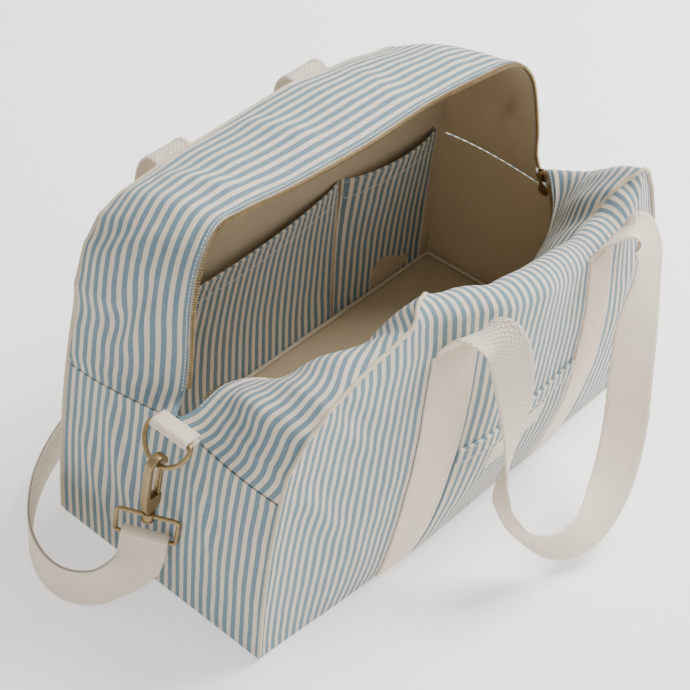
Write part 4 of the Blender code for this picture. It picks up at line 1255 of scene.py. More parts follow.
# ---------------------------------------------------------------- repeated small shapes
def row_group() -> bpy.types.NodeTree:
    """Geometry nodes that stand a small shape on every guide point, turned to the point's own directions.

    Returns:
        The tree.
    """
    tree = bpy.data.node_groups.new("row_of_pieces", "GeometryNodeTree")
    for label, kind in (("Geometry", "NodeSocketGeometry"), ("Piece", "NodeSocketObject"),
                        ("Finish", "NodeSocketMaterial"), ("Unevenness", "NodeSocketFloat"),
                        ("Seed", "NodeSocketInt")):
        tree.interface.new_socket(label, in_out="INPUT", socket_type=kind)
    tree.interface.new_socket("Geometry", in_out="OUTPUT", socket_type="NodeSocketGeometry")
    given, out = tree.nodes.new("NodeGroupInput"), tree.nodes.new("NodeGroupOutput")
    along = node_at(tree, "GeometryNodeInputNamedAttribute", data_type="FLOAT_VECTOR")
    along.inputs["Name"].default_value = "along"
    up = node_at(tree, "GeometryNodeInputNamedAttribute", data_type="FLOAT_VECTOR")
    up.inputs["Name"].default_value = "up"
    turned = node_at(tree, "FunctionNodeAxesToRotation", primary_axis="Z", secondary_axis="X")
    tree.links.new(up.outputs[0], turned.inputs[0])
    tree.links.new(along.outputs[0], turned.inputs[1])
    chance = node_at(tree, "FunctionNodeRandomValue", data_type="FLOAT")
    low = node_at(tree, "ShaderNodeMath", operation="SUBTRACT")
    low.inputs[0].default_value = 1.0
    tree.links.new(given.outputs["Unevenness"], low.inputs[1])
    tree.links.new(low.outputs[0], chance.inputs[2])
    chance.inputs[3].default_value = 1.0
    tree.links.new(given.outputs["Seed"], chance.inputs["Seed"])
    shape = node_at(tree, "GeometryNodeObjectInfo", transform_space="ORIGINAL")
    tree.links.new(given.outputs["Piece"], shape.inputs[0])
    stand = node_at(tree, "GeometryNodeInstanceOnPoints")
    tree.links.new(given.outputs["Geometry"], stand.inputs["Points"])
    tree.links.new(shape.outputs["Geometry"], stand.inputs["Instance"])
    tree.links.new(turned.outputs[0], stand.inputs["Rotation"])
    tree.links.new(chance.outputs[1], stand.inputs["Scale"])
    real = node_at(tree, "GeometryNodeRealizeInstances")
    tree.links.new(stand.outputs[0], real.inputs[0])
    paint = node_at(tree, "GeometryNodeSetMaterial")
    tree.links.new(real.outputs[0], paint.inputs["Geometry"])
    tree.links.new(given.outputs["Finish"], paint.inputs["Material"])
    tree.links.new(paint.outputs[0], out.inputs[0])
    return tree


@dataclass
class Row:
    """A row of one small shape, stood on guide points.

    Attributes:
        name: Its name.
        shape: The small shape's points and faces, along X with Z up.
        finish: Its look.
        uneven: How much smaller the smallest may be.
        seed: The random seed.
    """

    name: str
    shape: tuple
    finish: Metal | Plain
    uneven: float = 0.0
    seed: int = 3

    def build(self, places: Sequence[tuple]) -> bpy.types.Object:
        """Makes the row from (point, along, up) places.

        Args:
            places: Where each shape stands.

        Returns:
            The row, as a plain mesh.
        """
        small = piece_from(self.name + "_one", np.array(self.shape[0]), self.shape[1], (self.finish,))
        guide = bpy.data.meshes.new(self.name)
        guide.from_pydata([tuple(map(float, p[0])) for p in places], [], [])
        for label, column_of in (("along", 1), ("up", 2)):
            layer = guide.attributes.new(label, "FLOAT_VECTOR", "POINT")
            layer.data.foreach_set("vector", np.array([p[column_of] for p in places], np.float32).ravel())
        made = bpy.data.objects.new(self.name, guide)
        bpy.context.scene.collection.objects.link(made)
        tree = bpy.data.node_groups["row_of_pieces"]
        step = made.modifiers.new("row", "NODES")
        step.node_group = tree
        sockets = {item.name: item.identifier for item in tree.interface.items_tree
                   if item.in_out == "INPUT"}
        step[sockets["Piece"]] = small
        step[sockets["Finish"]] = self.finish.material()
        step[sockets["Unevenness"]] = self.uneven
        step[sockets["Seed"]] = self.seed
        apply_modifiers(made)
        bpy.data.objects.remove(small)
        made.data.shade_smooth()
        made.data.set_sharp_from_angle(angle=math.radians(45))
        return made


def block(length: float, width: float, height: float, round_off: float = 0.3) -> tuple:
    """A small bar with chamfered ends and top, as points and faces.

    Args:
        length: Along the row.
        width: Across the row.
        height: Above the cloth.
        round_off: How much of its edges is taken off.

    Returns:
        Its points and its faces.
    """
    x, y, z = length / 2, width / 2, height / 2
    e = min(x, y, z) * round_off * 2
    rings = [(-x, y - e, z - e), (-x + e, y, z), (x - e, y, z), (x, y - e, z - e)]
    verts = [(a, sy * b, sz * c) for a, b, c in rings for sy, sz in ((-1, -1), (1, -1), (1, 1), (-1, 1))]
    faces = [(4 * i + j, 4 * i + 4 + j, 4 * i + 4 + (j + 1) % 4, 4 * i + (j + 1) % 4)
             for i in range(3) for j in range(4)]
    return verts, faces + [(3, 2, 1, 0), (12, 13, 14, 15)]


STITCH = block(0.0024, 0.0006, 0.0005)


def stitch_places(line: Sequence[Array], up: Callable[[int], Array] | Sequence, pitch: float = STITCH_PITCH,
                  ) -> list:
    """Evenly spaced (point, along, up) places on a line of points with their up directions.

    Args:
        line: The line of points.
        up: The way off at each point.
        pitch: From one place to the next.

    Returns:
        The places.
    """
    line, ups = np.array(line), np.array(up)
    reach = np.concatenate([[0], np.cumsum(np.linalg.norm(np.diff(line, axis=0), axis=1))])
    count = max(2, int(reach[-1] / pitch))
    places = []
    for d in (np.arange(count) + 0.5) * reach[-1] / count:
        point = np.array([np.interp(d, reach, line[:, k]) for k in range(3)])
        ahead = np.array([np.interp(min(d + 1e-3, reach[-1]), reach, line[:, k]) for k in range(3)])
        behind = np.array([np.interp(max(d - 1e-3, 0), reach, line[:, k]) for k in range(3)])
        normal = np.array([np.interp(d, reach, ups[:, k]) for k in range(3)])
        places.append((point, unit(ahead - behind), unit(normal)))
    return places


# ---------------------------------------------------------------- the bag's cloth
@dataclass
class Walls:
    """The front, back and end cloths, each striped outside and natural inside."""

    across: int = 150
    upwards: int = 110
    front_relief: tuple = (
        Ripple(0.060, 0.0016, 3.0), Ripple(0.022, 0.0005, 8.0),
        Crease((-0.185, -0.118, 0.245), (-0.120, -0.128, 0.150), 0.008, 0.0030, 0.4),
        Crease((-0.205, -0.114, 0.170), (-0.150, -0.122, 0.090), 0.010, 0.0024, 0.3),
        Crease((0.205, -0.120, 0.190), (0.165, -0.135, 0.100), 0.010, 0.0026, 0.4),
        Crease((0.225, -0.115, 0.080), (0.190, -0.125, 0.030), 0.008, 0.0020, 0.3),
    )
    back_relief: tuple = (Ripple(0.075, 0.0018, 12.0), Ripple(0.026, 0.0005, 4.0))
    left_relief: tuple = (
        Ripple(0.050, 0.0012, 5.0),
        Crease((-0.228, 0.060, 0.165), (-0.232, 0.030, 0.070), 0.009, 0.0030, 0.5),
        Crease((-0.228, -0.030, 0.160), (-0.232, -0.060, 0.080), 0.008, 0.0026, 0.5),
        Crease((-0.232, 0.085, 0.120), (-0.233, 0.050, 0.030), 0.009, 0.0022, 0.4),
    )
    right_relief: tuple = (
        Ripple(0.050, 0.0012, 15.0),
        Crease((0.248, -0.030, 0.120), (0.246, -0.060, 0.050), 0.009, 0.0024, 0.4),
        Crease((0.246, 0.050, 0.125), (0.243, 0.070, 0.050), 0.009, 0.0024, 0.4),
    )

    def build(self) -> None:
        """Makes the four walls."""
        ends = [column_at(s * (HALF - 0.0004)) for s in (-1, 1)]
        us = spread(*ends, self.across)
        front = Cloth("front_wall", front_panel, us, spread(0.003, 0.9985, self.upwards), 1,
                      relief=self.front_relief).build()
        finish_piece(front, "bag", ("front_panel", "front_lining"))
        back = Cloth("back_wall", back_panel, us, spread(0.003, 0.9985, self.upwards), -1,
                     relief=self.back_relief).build()
        finish_piece(back, "bag", ("back_panel", "back_lining"))
        for name, side, relief in (("left", -1, self.left_relief), ("right", 1, self.right_relief)):
            end = Cloth(name + "_end_wall", end_panel(side), spread(0.002, 0.998, 70),
                        spread(0.004, 0.996, 60), -side, relief=relief).build()
            finish_piece(end, "bag", (name + "_end_panel", name + "_end_lining"))
        log.info("walls: front, back and two ends")


@dataclass
class ZipTop:
    """Both halves of the zipped top: cloth, folded edge, tape and teeth."""

    along: int = 240
    across: int = 26
    back_relief: tuple = (
        Ripple(0.052, 0.0022, 2.0, (1.0, 0.5, 1.0)),
        Crease((-0.222, 0.055, 0.205), (-0.190, 0.028, 0.275), 0.009, 0.0050, 0.7),
        Crease((-0.205, 0.095, 0.265), (-0.196, 0.040, 0.318), 0.008, 0.0030, 0.5),
        Crease((-0.150, 0.090, 0.322), (-0.120, 0.025, 0.324), 0.011, 0.0030, 0.4),
        Crease((-0.060, 0.095, 0.318), (-0.030, 0.030, 0.319), 0.012, 0.0026, 0.4),
        Crease((0.060, 0.085, 0.305), (0.050, 0.020, 0.316), 0.012, 0.0030, 0.4),
        Crease((0.140, 0.070, 0.290), (0.120, 0.015, 0.312), 0.012, 0.0026, 0.4),
        Crease((0.238, 0.060, 0.190), (0.222, 0.025, 0.250), 0.009, 0.0036, 0.6),
        Crease((-0.229, 0.030, 0.190), (-0.226, 0.010, 0.180), 0.006, 0.0022, 0.5),
    )
    front_relief: tuple = (
        Ripple(0.048, 0.0018, 21.0),
        Crease((-0.200, -0.085, 0.215), (-0.185, -0.030, 0.205), 0.010, 0.0032, 0.5),
        Crease((-0.130, -0.100, 0.240), (-0.140, -0.050, 0.195), 0.010, 0.0028, 0.4),
        Crease((-0.060, -0.085, 0.200), (-0.040, -0.055, 0.130), 0.010, 0.0024, 0.4),
        Crease((0.190, -0.085, 0.215), (0.185, -0.055, 0.170), 0.010, 0.0026, 0.4),
    )

    def build(self) -> None:
        """Makes both halves."""
        self.half("back", BACK_STRIP, BACK_ZIP, -1, self.back_relief)
        self.half("front", FRONT_STRIP, FRONT_ZIP, 1, self.front_relief)

    def half(self, name: str, surface: Surface, edge: Path, outward: int, relief: tuple) -> None:
        """Makes one half: its canvas, folded edge, stitching, tape and teeth.

        Args:
            name: Which half.
            surface: Its cloth.
            edge: Its line of teeth.
            outward: Which side of the cloth is out, 1 or -1.
            relief: Its folds.
        """
        reach = TEETH_END / edge.length

        def width(q: float) -> float:
            """The cloth's breadth at a place along it."""
            points = [surface(q, k / 8) for k in range(9)]
            return sum(float(np.linalg.norm(points[k + 1] - points[k])) for k in range(8))

        def near(q: float, distance: float) -> float:
            """The v that lies a distance from the middle of the teeth."""
            return 1 - distance / width(q)

        def shy(q: float) -> float:
            """How far the folded edge keeps from the middle of the teeth."""
            slide = SLIDER_WIDTH / 2 + 2 * FIT
            low = 1 - reach
            return knots([(0.0, CLEAR), (0.6 * reach, ZIP_SHY), (low, ZIP_SHY), (low + 0.004, slide),
                          (low + 0.55 * reach, slide), (0.998, CLEAR)], q)

        def lines_at(q: float) -> Array:
            """The v lines across the cloth, closer together in its folded edge."""
            fold = near(q, shy(q) + 0.008)
            return np.concatenate([spread(0.004, fold, self.across)[:-1], spread(fold, near(q, shy(q)), 6)])

        cloth = Cloth(name + "_top_cloth", surface, spread(0.002, 0.998, self.along), lines_at, outward,
                      relief=relief, stripes=1, hem=0.0075, offset=0.0022)
        finish_piece(cloth.build(), "bag", (name + "_zip_strip", name + "_strip_lining"))
        chain = spread(reach, 1 - reach, 200)
        tape = Cloth("tape_" + name, surface, chain,
                     lambda q: spread(near(q, ZIP_SHY + 0.004), near(q, TEETH_WIDTH / 2 - 0.0006), 6),
                     outward, TAPE, TAPE, thick=0.0006, lift=-0.0010).build()
        finish_piece(tape, "bag", ("zip_tape_" + name,))
        line, ups = [], []
        for q in spread(reach, 1 - reach, 340):
            place = near(q, 0.5 * TEETH_WIDTH - 0.0012)
            across = unit(surface(q, 1.0) - surface(q, 0.96))
            line.append(surface(q, place))
            ups.append(unit(np.cross(edge.tangent(q), across)) * outward)
        line = np.array(line) - np.array(ups) * CANVAS
        tooth = block(0.00125, 0.0036, 0.0025, 0.34)
        teeth = Row("teeth_" + name, tooth, TEETH, 0.05, 5).build(stitch_places(line, ups, TOOTH_PITCH))
        finish_piece(teeth, "bag", ("zip_teeth_" + name,))
        seams = []
        for column_of in (-2, -5):
            up = cloth.normals[8:-8, column_of]
            seams += stitch_places(cloth.points[8:-8, column_of] + up * WEAVE_ON_TOP, up)
        stitched = Row(name + "_top_stitches", STITCH, THREAD_WHITE, 0.1, 2).build(seams)
        finish_piece(stitched, "bag", ())
        log.info("%s half of the top: %d teeth", name, len(teeth.data.polygons) // 14)


@dataclass
class Seams:
    """Bound seam edges: over both arches and down the four corners, inside and out."""

    def build(self) -> None:
        """Makes the bindings."""
        for name, surface, place, seam in (("front", front_panel, front_share, FRONT_SEAM),
                                           ("back", back_panel, back_share, BACK_SEAM)):
            heights = spread(0.004, 0.90 * END_HEIGHT, 18)
            left = [surface(0.0, place(-HALF, h)) for h in heights]
            right = [surface(1.0, place(HALF, h)) for h in heights[::-1]]
            over = [seam.at(k / 200) for k in range(201)]
            route = Path(left + over + right, 2).points
            bound = tube(name + "_bound_seam", route, 0.0019, 14, BOUND, flat=0.85)
            finish_piece(bound, "bag", (name + "_seam_binding",))
        floor = [np.array([x, y, 0.0075]) for x, y in floor_outline(0.0045)]
        bound = tube("floor_bound_seam", smooth_ring(floor), 0.0019, 10, BOUND, True)
        finish_piece(bound, "bag", ())
        log.info("bindings: two arches and the floor seam")


def floor_outline(inset: float) -> list:
    """Corners of the base in order, its front edge bowed.

    Args:
        inset: How far it keeps inside the walls.

    Returns:
        The corners.
    """
    points = []
    count = 16
    for k in range(count + 1):
        p = front_panel(k / count, 0.0)
        points.append([p[0], p[1] + inset])
    for k in range(count + 1):
        p = back_panel(1 - k / count, 0.0)
        points.append([p[0], p[1] - inset])
    xs = [p[0] for p in points]
    low, high = min(xs[:count + 1]) + inset, max(xs) - inset
    slant = (points[count][0] - points[count + 1][0]) / DEPTH
    result = []
    for x, y in points:
        right = high - slant * (y - points[count][1])
        result.append([min(max(x, low), right), y])
    tidy = [result[0]]
    for p in result[1:]:
        if math.dist(p, tidy[-1]) > 0.0012:
            tidy.append(p)
    return tidy


def smooth_ring(points: Sequence[Array], count: int = 220) -> list:
    """Evenly spaced points round a closed outline.

    Args:
        points: The outline.
        count: How many points.

    Returns:
        The points.
    """
    ring = np.array(list(points) + [points[0]])
    reach = np.concatenate([[0], np.cumsum(np.linalg.norm(np.diff(ring, axis=0), axis=1))])
    return [np.array([np.interp(d, reach, ring[:, k]) for k in range(3)])
            for d in np.arange(count) * reach[-1] / count]


@dataclass
class Base:
    """The flat bottom: canvas underneath, which also stands for the hidden board, and a natural floor inside.
    """

    def build(self) -> None:
        """Makes the base."""
        lying = np.array([[1, 0, 0, 0], [0, 0, 1, 0], [0, 1, 0, 0], [0, 0, 0, 1]], float)
        for name, inset, low, thick, finish, nodes in (
                ("base_outside", 0.0004, 0.0, 0.0030, STRIPED, ("base_panel", "base_board")),
                ("base_inside", 0.0022, 0.0032, 0.0019, NATURAL, ("base_lining",))):
            place = lying.copy()
            place[2, 3] = low + thick / 2
            made = plate(name, floor_outline(inset), thick, place, finish, 0.0008)
            project_uv(made)
            finish_piece(made, "bag", nodes)
        log.info("base")


def project_uv(piece: bpy.types.Object) -> None:
    """Spreads a flat piece's cloth coordinates straight down, its stripes across the bag."""
    layer = piece.data.uv_layers.get("cloth") or piece.data.uv_layers.new(name="cloth")
    for loop in piece.data.loops:
        co = piece.data.vertices[loop.vertex_index].co
        layer.data[loop.index].uv = (co.x, co.y)


@dataclass
class Pockets:
    """The outside slip pocket with its blank label, and three pockets inside."""

    gape: float = POCKET_GAPE

    def build(self) -> None:
        """Makes the pockets."""
        def slip(u: float, v: float) -> Array:
            """The outside pocket's place on the front cloth."""
            s = SLIP_CENTRE + SLIP_WIDTH * (u - 0.5)
            return front_panel(column_at(s), front_share(s, v * SLIP_HEIGHT))

        relief = tuple(r for r in Walls().front_relief if isinstance(r, Ripple))
        cloth = Cloth("slip_pocket", slip, spread(0.0, 1.0, 70), spread(0.03, 1.0, 60), 1, STRIPED, STRIPED,
                      relief, thick=0.0016, lift=0.0019, hem=0.014, offset=SLIP_CENTRE, fade=False)
        piece = cloth.build()
        finish_piece(piece, "bag", ("front_slip_pocket",))
        rows = []
        grid, normal = cloth.points, cloth.normals
        for i in (1, 3, -4, -2):
            rows += stitch_places(grid[i] + normal[i] * 0.0019, normal[i])
        for j in (-8, -2):
            rows += stitch_places(grid[:, j] + normal[:, j] * 0.0026, normal[:, j])
        across = 0.5 * LABEL_WIDTH / SLIP_WIDTH
        foot, head = LABEL_FOOT / SLIP_HEIGHT, (LABEL_FOOT + LABEL_HEIGHT) / SLIP_HEIGHT
        label = Cloth("plain_label", slip, spread(0.5 - across, 0.5 + across, 30), spread(foot, head, 12), 1,
                      LABEL_CLOTH, LABEL_CLOTH, relief, thick=0.0012, lift=0.0031, fade=False)
        made = label.build()
        finish_piece(made, "bag", ("blank_label",))
        grid, normal = label.points, label.normals
        for line, up in ((grid[1], normal[1]), (grid[-2], normal[-2]), (grid[:, 1], normal[:, 1]),
                         (grid[:, -2], normal[:, -2])):
            rows += stitch_places(line + up * 0.0032, up, 0.0022)
        stitches = Row("pocket_stitches", STITCH, THREAD_WHITE, 0.1, 4).build(rows)
        finish_piece(stitches, "bag", ())
        self.inside()
        log.info("pockets: one outside, three inside")

    def inside(self) -> None:
        """Makes the three inside pockets, their mouths standing off the wall."""
        depth = CLOTH + 0.0005
        rows = []

        def stitch_hem(cloth: Cloth) -> None:
            """Adds the two rows that hold a pocket's hem."""
            grid, normal = cloth.points, cloth.normals
            for j in (-9, -2):
                rows.extend(stitch_places(grid[:, j] + normal[:, j] * 0.0006, normal[:, j]))

        for name, low, high in (("left", -HALF + 0.030, POCKET_SPLIT - 0.002),
                                ("right", POCKET_SPLIT + 0.002, HALF - 0.014)):
            def patch(u: float, v: float, low: float = low, high: float = high) -> Array:
                """The pocket's cloth, standing off the back wall towards its mouth."""
                s = low + (high - low) * u
                place = column_at(s)
                point = back_panel(place, back_share(s, v * POCKET_HEIGHT))
                off = depth + self.gape * v ** 2 * math.sin(math.pi * u) ** 0.6
                return point + np.array([0, -off, 0])

            cloth = Cloth("inner_pocket_" + name, patch, spread(0.0, 1.0, 90), spread(0.035, 1.0, 60), 1,
                          STRIPED, STRIPED, (Ripple(0.040, 0.0014, 6.0 + low),), thick=0.0011, hem=0.013,
                          offset=low)
            finish_piece(cloth.build(), "bag", ("back_inner_pocket_" + name,))
            stitch_hem(cloth)
        wall = end_panel(-1)

        def patch(w: float, v: float) -> Array:
            """The end pocket's cloth, gaping wide."""
            point = wall(0.16 + 0.60 * w, v)
            off = depth + 1.6 * self.gape * v ** 2 * math.sin(math.pi * w) ** 0.6
            return point + np.array([off, 0, 0])

        cloth = Cloth("inner_pocket_end", patch, spread(0.0, 1.0, 70), spread(0.035, 0.9, 50), -1,
                      STRIPED, STRIPED, (Ripple(0.040, 0.0014, 9.0),), thick=0.0011, hem=0.013)
        finish_piece(cloth.build(), "bag", ("left_inner_pocket",))
        stitch_hem(cloth)
        stitches = Row("inner_pocket_stitches", STITCH, THREAD_WHITE, 0.1, 6).build(rows)
        finish_piece(stitches, "bag", ())


# ---------------------------------------------------------------- webbing
@dataclass
class Handles:
    """Both webbing handles: two sewn straps and a free loop on each side."""

    pieces: int = 260

    def sewn(self, name: str, surface: Surface, place: Callable, outward: int, centre: float, length: float,
             relief: Sequence) -> tuple:
        """Webbing sewn flat up a panel; returns where its loop starts, its way up and its way across.

        Args:
            name: Its name.
            surface: The panel that it is sewn on.
            place: The panel's share up at a column and a length.
            outward: Which side of the panel is out, 1 or -1.
            centre: The column of its middle.
            length: How far up it goes.
            relief: Its folds.

        Returns:
            The loop's start, its way up and its way across.
        """
        def patch(u: float, v: float) -> Array:
            """The strap's place on the panel."""
            s = centre + WEB_WIDTH * (u - 0.5)
            return surface(column_at(s), place(s, v * length))

        reach = (length + 0.0012) / length
        cloth = Cloth(name, patch, spread(0.0, 1.0, 16), spread(1.2 * 0.0038 / length, reach, 90), outward,
                      TWILL, TWILL, relief, thick=WEB, lift=WEB + 0.0003, fade=False)
        finish_piece(cloth.build(), "bag", (name,))
        rows = []
        grid, normal = cloth.points, cloth.normals
        lifted = WEB + 0.0004
        for i in (1, -2):
            rows += stitch_places(grid[i] + normal[i] * lifted, normal[i])
        for j in (-3, -16):
            rows += stitch_places(grid[1:-1, j] + normal[1:-1, j] * lifted, normal[1:-1, j])
        for a, b in (((1, -16), (-2, -3)), ((-2, -16), (1, -3))):
            count = 14
            i = np.linspace(a[0] % len(grid), b[0] % len(grid), count).round().astype(int)
            j = np.linspace(a[1], b[1], count).round().astype(int)
            rows += stitch_places(grid[i, j] + normal[i, j] * lifted, normal[i, j])
        finish_piece(Row(name + "_stitches", STITCH, THREAD_WHITE, 0.1, 7).build(rows), "bag", ())
        up = unit(patch(0.5, 1.0) - patch(0.5, 0.97))
        side = unit(patch(1.0, 1.0) - patch(0.0, 1.0))
        out = unit(np.cross(side, up)) * outward
        up = unit(np.cross(out, side)) * outward
        low = 3 * CLEAR + CANVAS
        return patch(0.5, 1.0) + out * (low + WEB / 2) + up * SLACK, up, side

    def loop(self, name: str, ends: Sequence[tuple], facing: int, stations: Sequence[tuple], flips: bool,
             body: str) -> None:
        """Makes a free loop from stations, each an end, its offset and its width as (right, out, up).

        Args:
            name: The handle's name.
            ends: The two sewn ends.
            facing: Which way out is, 1 or -1 along Y.
            stations: The places that it passes.
            flips: Whether it comes back turned over.
            body: Its body.
        """
        def turned(v: Sequence[float]) -> Array:
            """A (right, out, up) direction for this side of the bag."""
            return np.array([v[0], v[1] * facing, v[2]])

        (start, start_up, start_side), (end, end_up, end_side) = ends
        points, widths = [start, start + start_up * 0.005], [start_side, start_side]
        for which, offset, wide in stations:
            points.append(ends[which][0] + turned(offset))
            widths.append(turned(wide))
        last = -end_side if flips else end_side
        points, widths = points + [end + end_up * 0.005, end], widths + [last, last]
        path = Path(points)
        marks = path.reach[::12]
        centres, across, over = [], [], []
        for k in range(self.pieces + 1):
            q = k / self.pieces
            t = path.tangent(q)
            index = float(np.interp(q * path.length, marks, range(len(widths))))
            low = min(int(index), len(widths) - 2)
            w = np.array(widths[low]) * (1 - index + low) + np.array(widths[low + 1]) * (index - low)
            w = unit(w - t * w.dot(t))
            centres.append(path.at(q))
            across.append(w)
            over.append(np.cross(t, w))
        profile, slots = web_profile(WEB_WIDTH, WEB)
        faces = (BASKET, TWILL) if facing < 0 else (TWILL, BASKET)
        made = sweep(name, centres, across, over, profile, faces, slots=slots)
        finish_piece(made, body, (name,))
        rows = []
        for edge in (-1, 1):
            for face in (-1, 1):
                line = [c + a * edge * (WEB_WIDTH / 2 - STITCH_INSET) + o * face * (WEB * 0.43 + 0.0001)
                        for c, a, o in zip(centres, across, over)]
                rows += stitch_places(line, [o * face for o in over])
        finish_piece(Row(name + "_stitches", STITCH, THREAD_WHITE, 0.1, 8).build(rows), body, ())

    def build(self) -> None:
        """Makes both handles."""
        walls = Walls()
        near = self.sewn("front_handle_strap_near", front_panel, front_share, 1, NEAR_STRAP, SEWN_TOP,
                         walls.front_relief)
        far = self.sewn("front_handle_strap_far", front_panel, front_share, 1, FAR_STRAP, SEWN_TOP - 0.006,
                        walls.front_relief)
        from_near = [((-0.002, 0.006, 0.016), (0.95, 0.3, 0.0)), ((-0.004, 0.018, 0.032), (0.95, 0.3, 0.0)),
                     ((0.004, 0.036, 0.030), (0.9, 0.3, 0.1)), ((0.010, 0.045, 0.004), (0.9, 0.3, 0.0)),
                     ((0.016, 0.051, -0.044), (0.95, 0.0, -0.3)),
                     ((0.014, 0.054, -0.082), (0.9, -0.35, -0.3)),
                     ((0.008, 0.056, -0.112), (0.5, -0.6, -0.6)),
                     ((0.008, 0.061, -0.138), (0.35, -0.6, -0.7)),
                     ((0.018, 0.074, -0.162), (0.4, -0.4, -0.8)), ((0.044, 0.092, -0.180), (0.35, 0.1, -0.9)),
                     ((0.078, 0.099, -0.183), (0.3, 0.45, -0.8))]
        from_far = [((-0.064, 0.086, -0.160), (0.5, 0.75, -0.4)), ((-0.034, 0.072, -0.128), (0.6, 0.8, -0.1)),
                    ((-0.013, 0.056, -0.090), (0.7, 0.7, 0.0)), ((0.006, 0.042, -0.054), (0.85, 0.5, 0.0)),
                    ((0.022, 0.033, -0.020), (0.95, 0.1, -0.2)), ((0.026, 0.027, 0.006), (0.95, 0.0, -0.3)),
                    ((0.018, 0.018, 0.025), (1.0, 0.0, -0.1)), ((0.004, 0.007, 0.019), (1.0, -0.1, 0.0))]
        route = [(0, offset, wide) for offset, wide in from_near]
        route += [(1, offset, wide) for offset, wide in from_far]
        self.loop("front_handle_loop", (near, far), -1, route, False, "front_handle_body")
        near = self.sewn("back_handle_strap_near", back_panel, back_share, -1, BACK_NEAR_STRAP, BACK_SEWN_TOP,
                         walls.back_relief)
        far = self.sewn("back_handle_strap_far", back_panel, back_share, -1, BACK_FAR_STRAP, BACK_SEWN_TOP,
                        walls.back_relief)
        half = (far[0] - near[0])[0] / 2
        side = [((0.000, 0.005, 0.020), (1.0, 0.0, 0.0)), ((0.000, 0.020, 0.026), (1.0, 0.0, 0.0)),
                ((0.000, 0.032, 0.012), (1.0, 0.0, 0.0)), ((0.001, 0.036, -0.020), (1.0, -0.1, 0.0)),
                ((0.006, 0.037, -0.070), (1.0, -0.1, 0.1)), ((0.022, 0.036, -0.130), (1.0, 0.0, 0.5))]
        route = [(0, offset, wide) for offset, wide in side]
        route.append((0, (half, 0.034, -BACK_LOOP_DROP), (0.1, 0.0, 1.0)))
        route += [(1, (-o[0], o[1], o[2]), (-w[0], w[1], w[2])) for o, w in reversed(side)]
        self.loop("back_handle_loop", (near, far), 1, route, True, "back_handle_body")
        log.info("handles: two")


# ---------------------------------------------------------------- metal
def frame_matrix(origin: Array, a: Sequence[float], h: Sequence[float]) -> Array:
    """4x4 with columns a, n, h from a lengthwise and an upward direction.

    Args:
        origin: Where it stands.
        a: Lengthwise.
        h: Upward.

    Returns:
        The matrix.
    """
    h = unit(h)
    a = unit(np.array(a, float) - h * np.dot(a, h))
    m = np.eye(4)
    m[:3, 0], m[:3, 1], m[:3, 2], m[:3, 3] = a, np.cross(h, a), h, origin
    return m


def arc(radius: float, start: float, end: float, steps: int) -> list:
    """Points of an arc about (0, 0), angles in degrees."""
    return [(radius * math.cos(math.radians(a)), radius * math.sin(math.radians(a)))
            for a in spread(start, end, steps)]


@dataclass
class Slider:
    """The zip's slider body with its bridge, and its leaf-shaped pull."""

    gap: float = 0.0030
    wall: float = 0.0014

    def build(self) -> None:
        """Makes the slider and its pull."""
        back = TEETH_END - SLIDER_LENGTH / 2 - 2 * FIT
        q = 1 - back / BACK_ZIP.length
        point = (BACK_ZIP.at(q) + FRONT_ZIP.at(1 - back / FRONT_ZIP.length)) / 2
        point = point + np.array([-CANVAS, 0.0, 0.0])
        along = BACK_ZIP.tangent(q)
        inward = unit(np.array([-1.0, -0.25, 0.2]))
        place = frame_matrix(point, np.cross(along, inward), -along)
        half, length = SLIDER_WIDTH / 2, SLIDER_LENGTH / 2
        right = [(half * 0.62, -length), (half * 0.9, -length * 0.55), (half, -length * 0.1),
                 (half, length * 0.6), (half * 0.85, length * 0.85), (half * 0.45, length)]
        outline = [(-half * 0.62, -length)] + right + [(-x, z) for x, z in right[:0:-1]]
        normal, up = place[:3, 1], place[:3, 2]
        side = 1 if normal.dot(inward) > 0 else -1
        face = point + normal * side * (self.gap / 2 + self.wall)
        parts = []
        for k in (-1, 1):
            m = place.copy()
            m[:3, 3] = point + normal * k * (self.gap + self.wall) / 2
            parts.append(plate("slider_plate", outline, self.wall, m, BRASS, 0.0004))
        neck = [(-0.0011, 0.0015), (0.0011, 0.0015), (0.0011, 0.0055), (-0.0011, 0.0055)]
        parts.append(plate("slider_neck", neck, self.gap + self.wall, place, BRASS, 0.0))
        bridge = [face - up * 0.0048 - normal * side * 0.0004, face - up * 0.0044 + normal * side * 0.0014,
                  face - up * 0.0034 + normal * side * 0.0020, face + up * 0.0016 + normal * side * 0.0020,
                  face + up * 0.0026 + normal * side * 0.0014, face + up * 0.0030 - normal * side * 0.0004]
        parts.append(tube("slider_bridge", Path(bridge, 6).points, 0.00075, 12, BRASS))
        finish_piece(join("zip_slider_body", parts), "slider_body", ("zip_slider",))
        leaf = [(0.0014, 0.0012), (0.0022, -0.003), (0.0040, -0.008), (0.0046, -0.012), (0.0042, -0.0155),
                (0.0026, -PULL_LENGTH + 0.0014), (0.0, -PULL_LENGTH)]
        edge = [p[:2] for p in Path([(x, z, 0.0) for x, z in leaf], 5).points]
        pull = edge + [(-x, z) for x, z in reversed(edge[:-1])]
        m = place.copy()
        m[:3, 3] = face + normal * side * 0.0040 - up * 0.0012
        made = plate("zip_pull_leaf", pull, 0.0014, m, BRASS, 0.0004)
        finish_piece(made, "pull_body", ("zip_pull",))
        log.info("slider and pull")


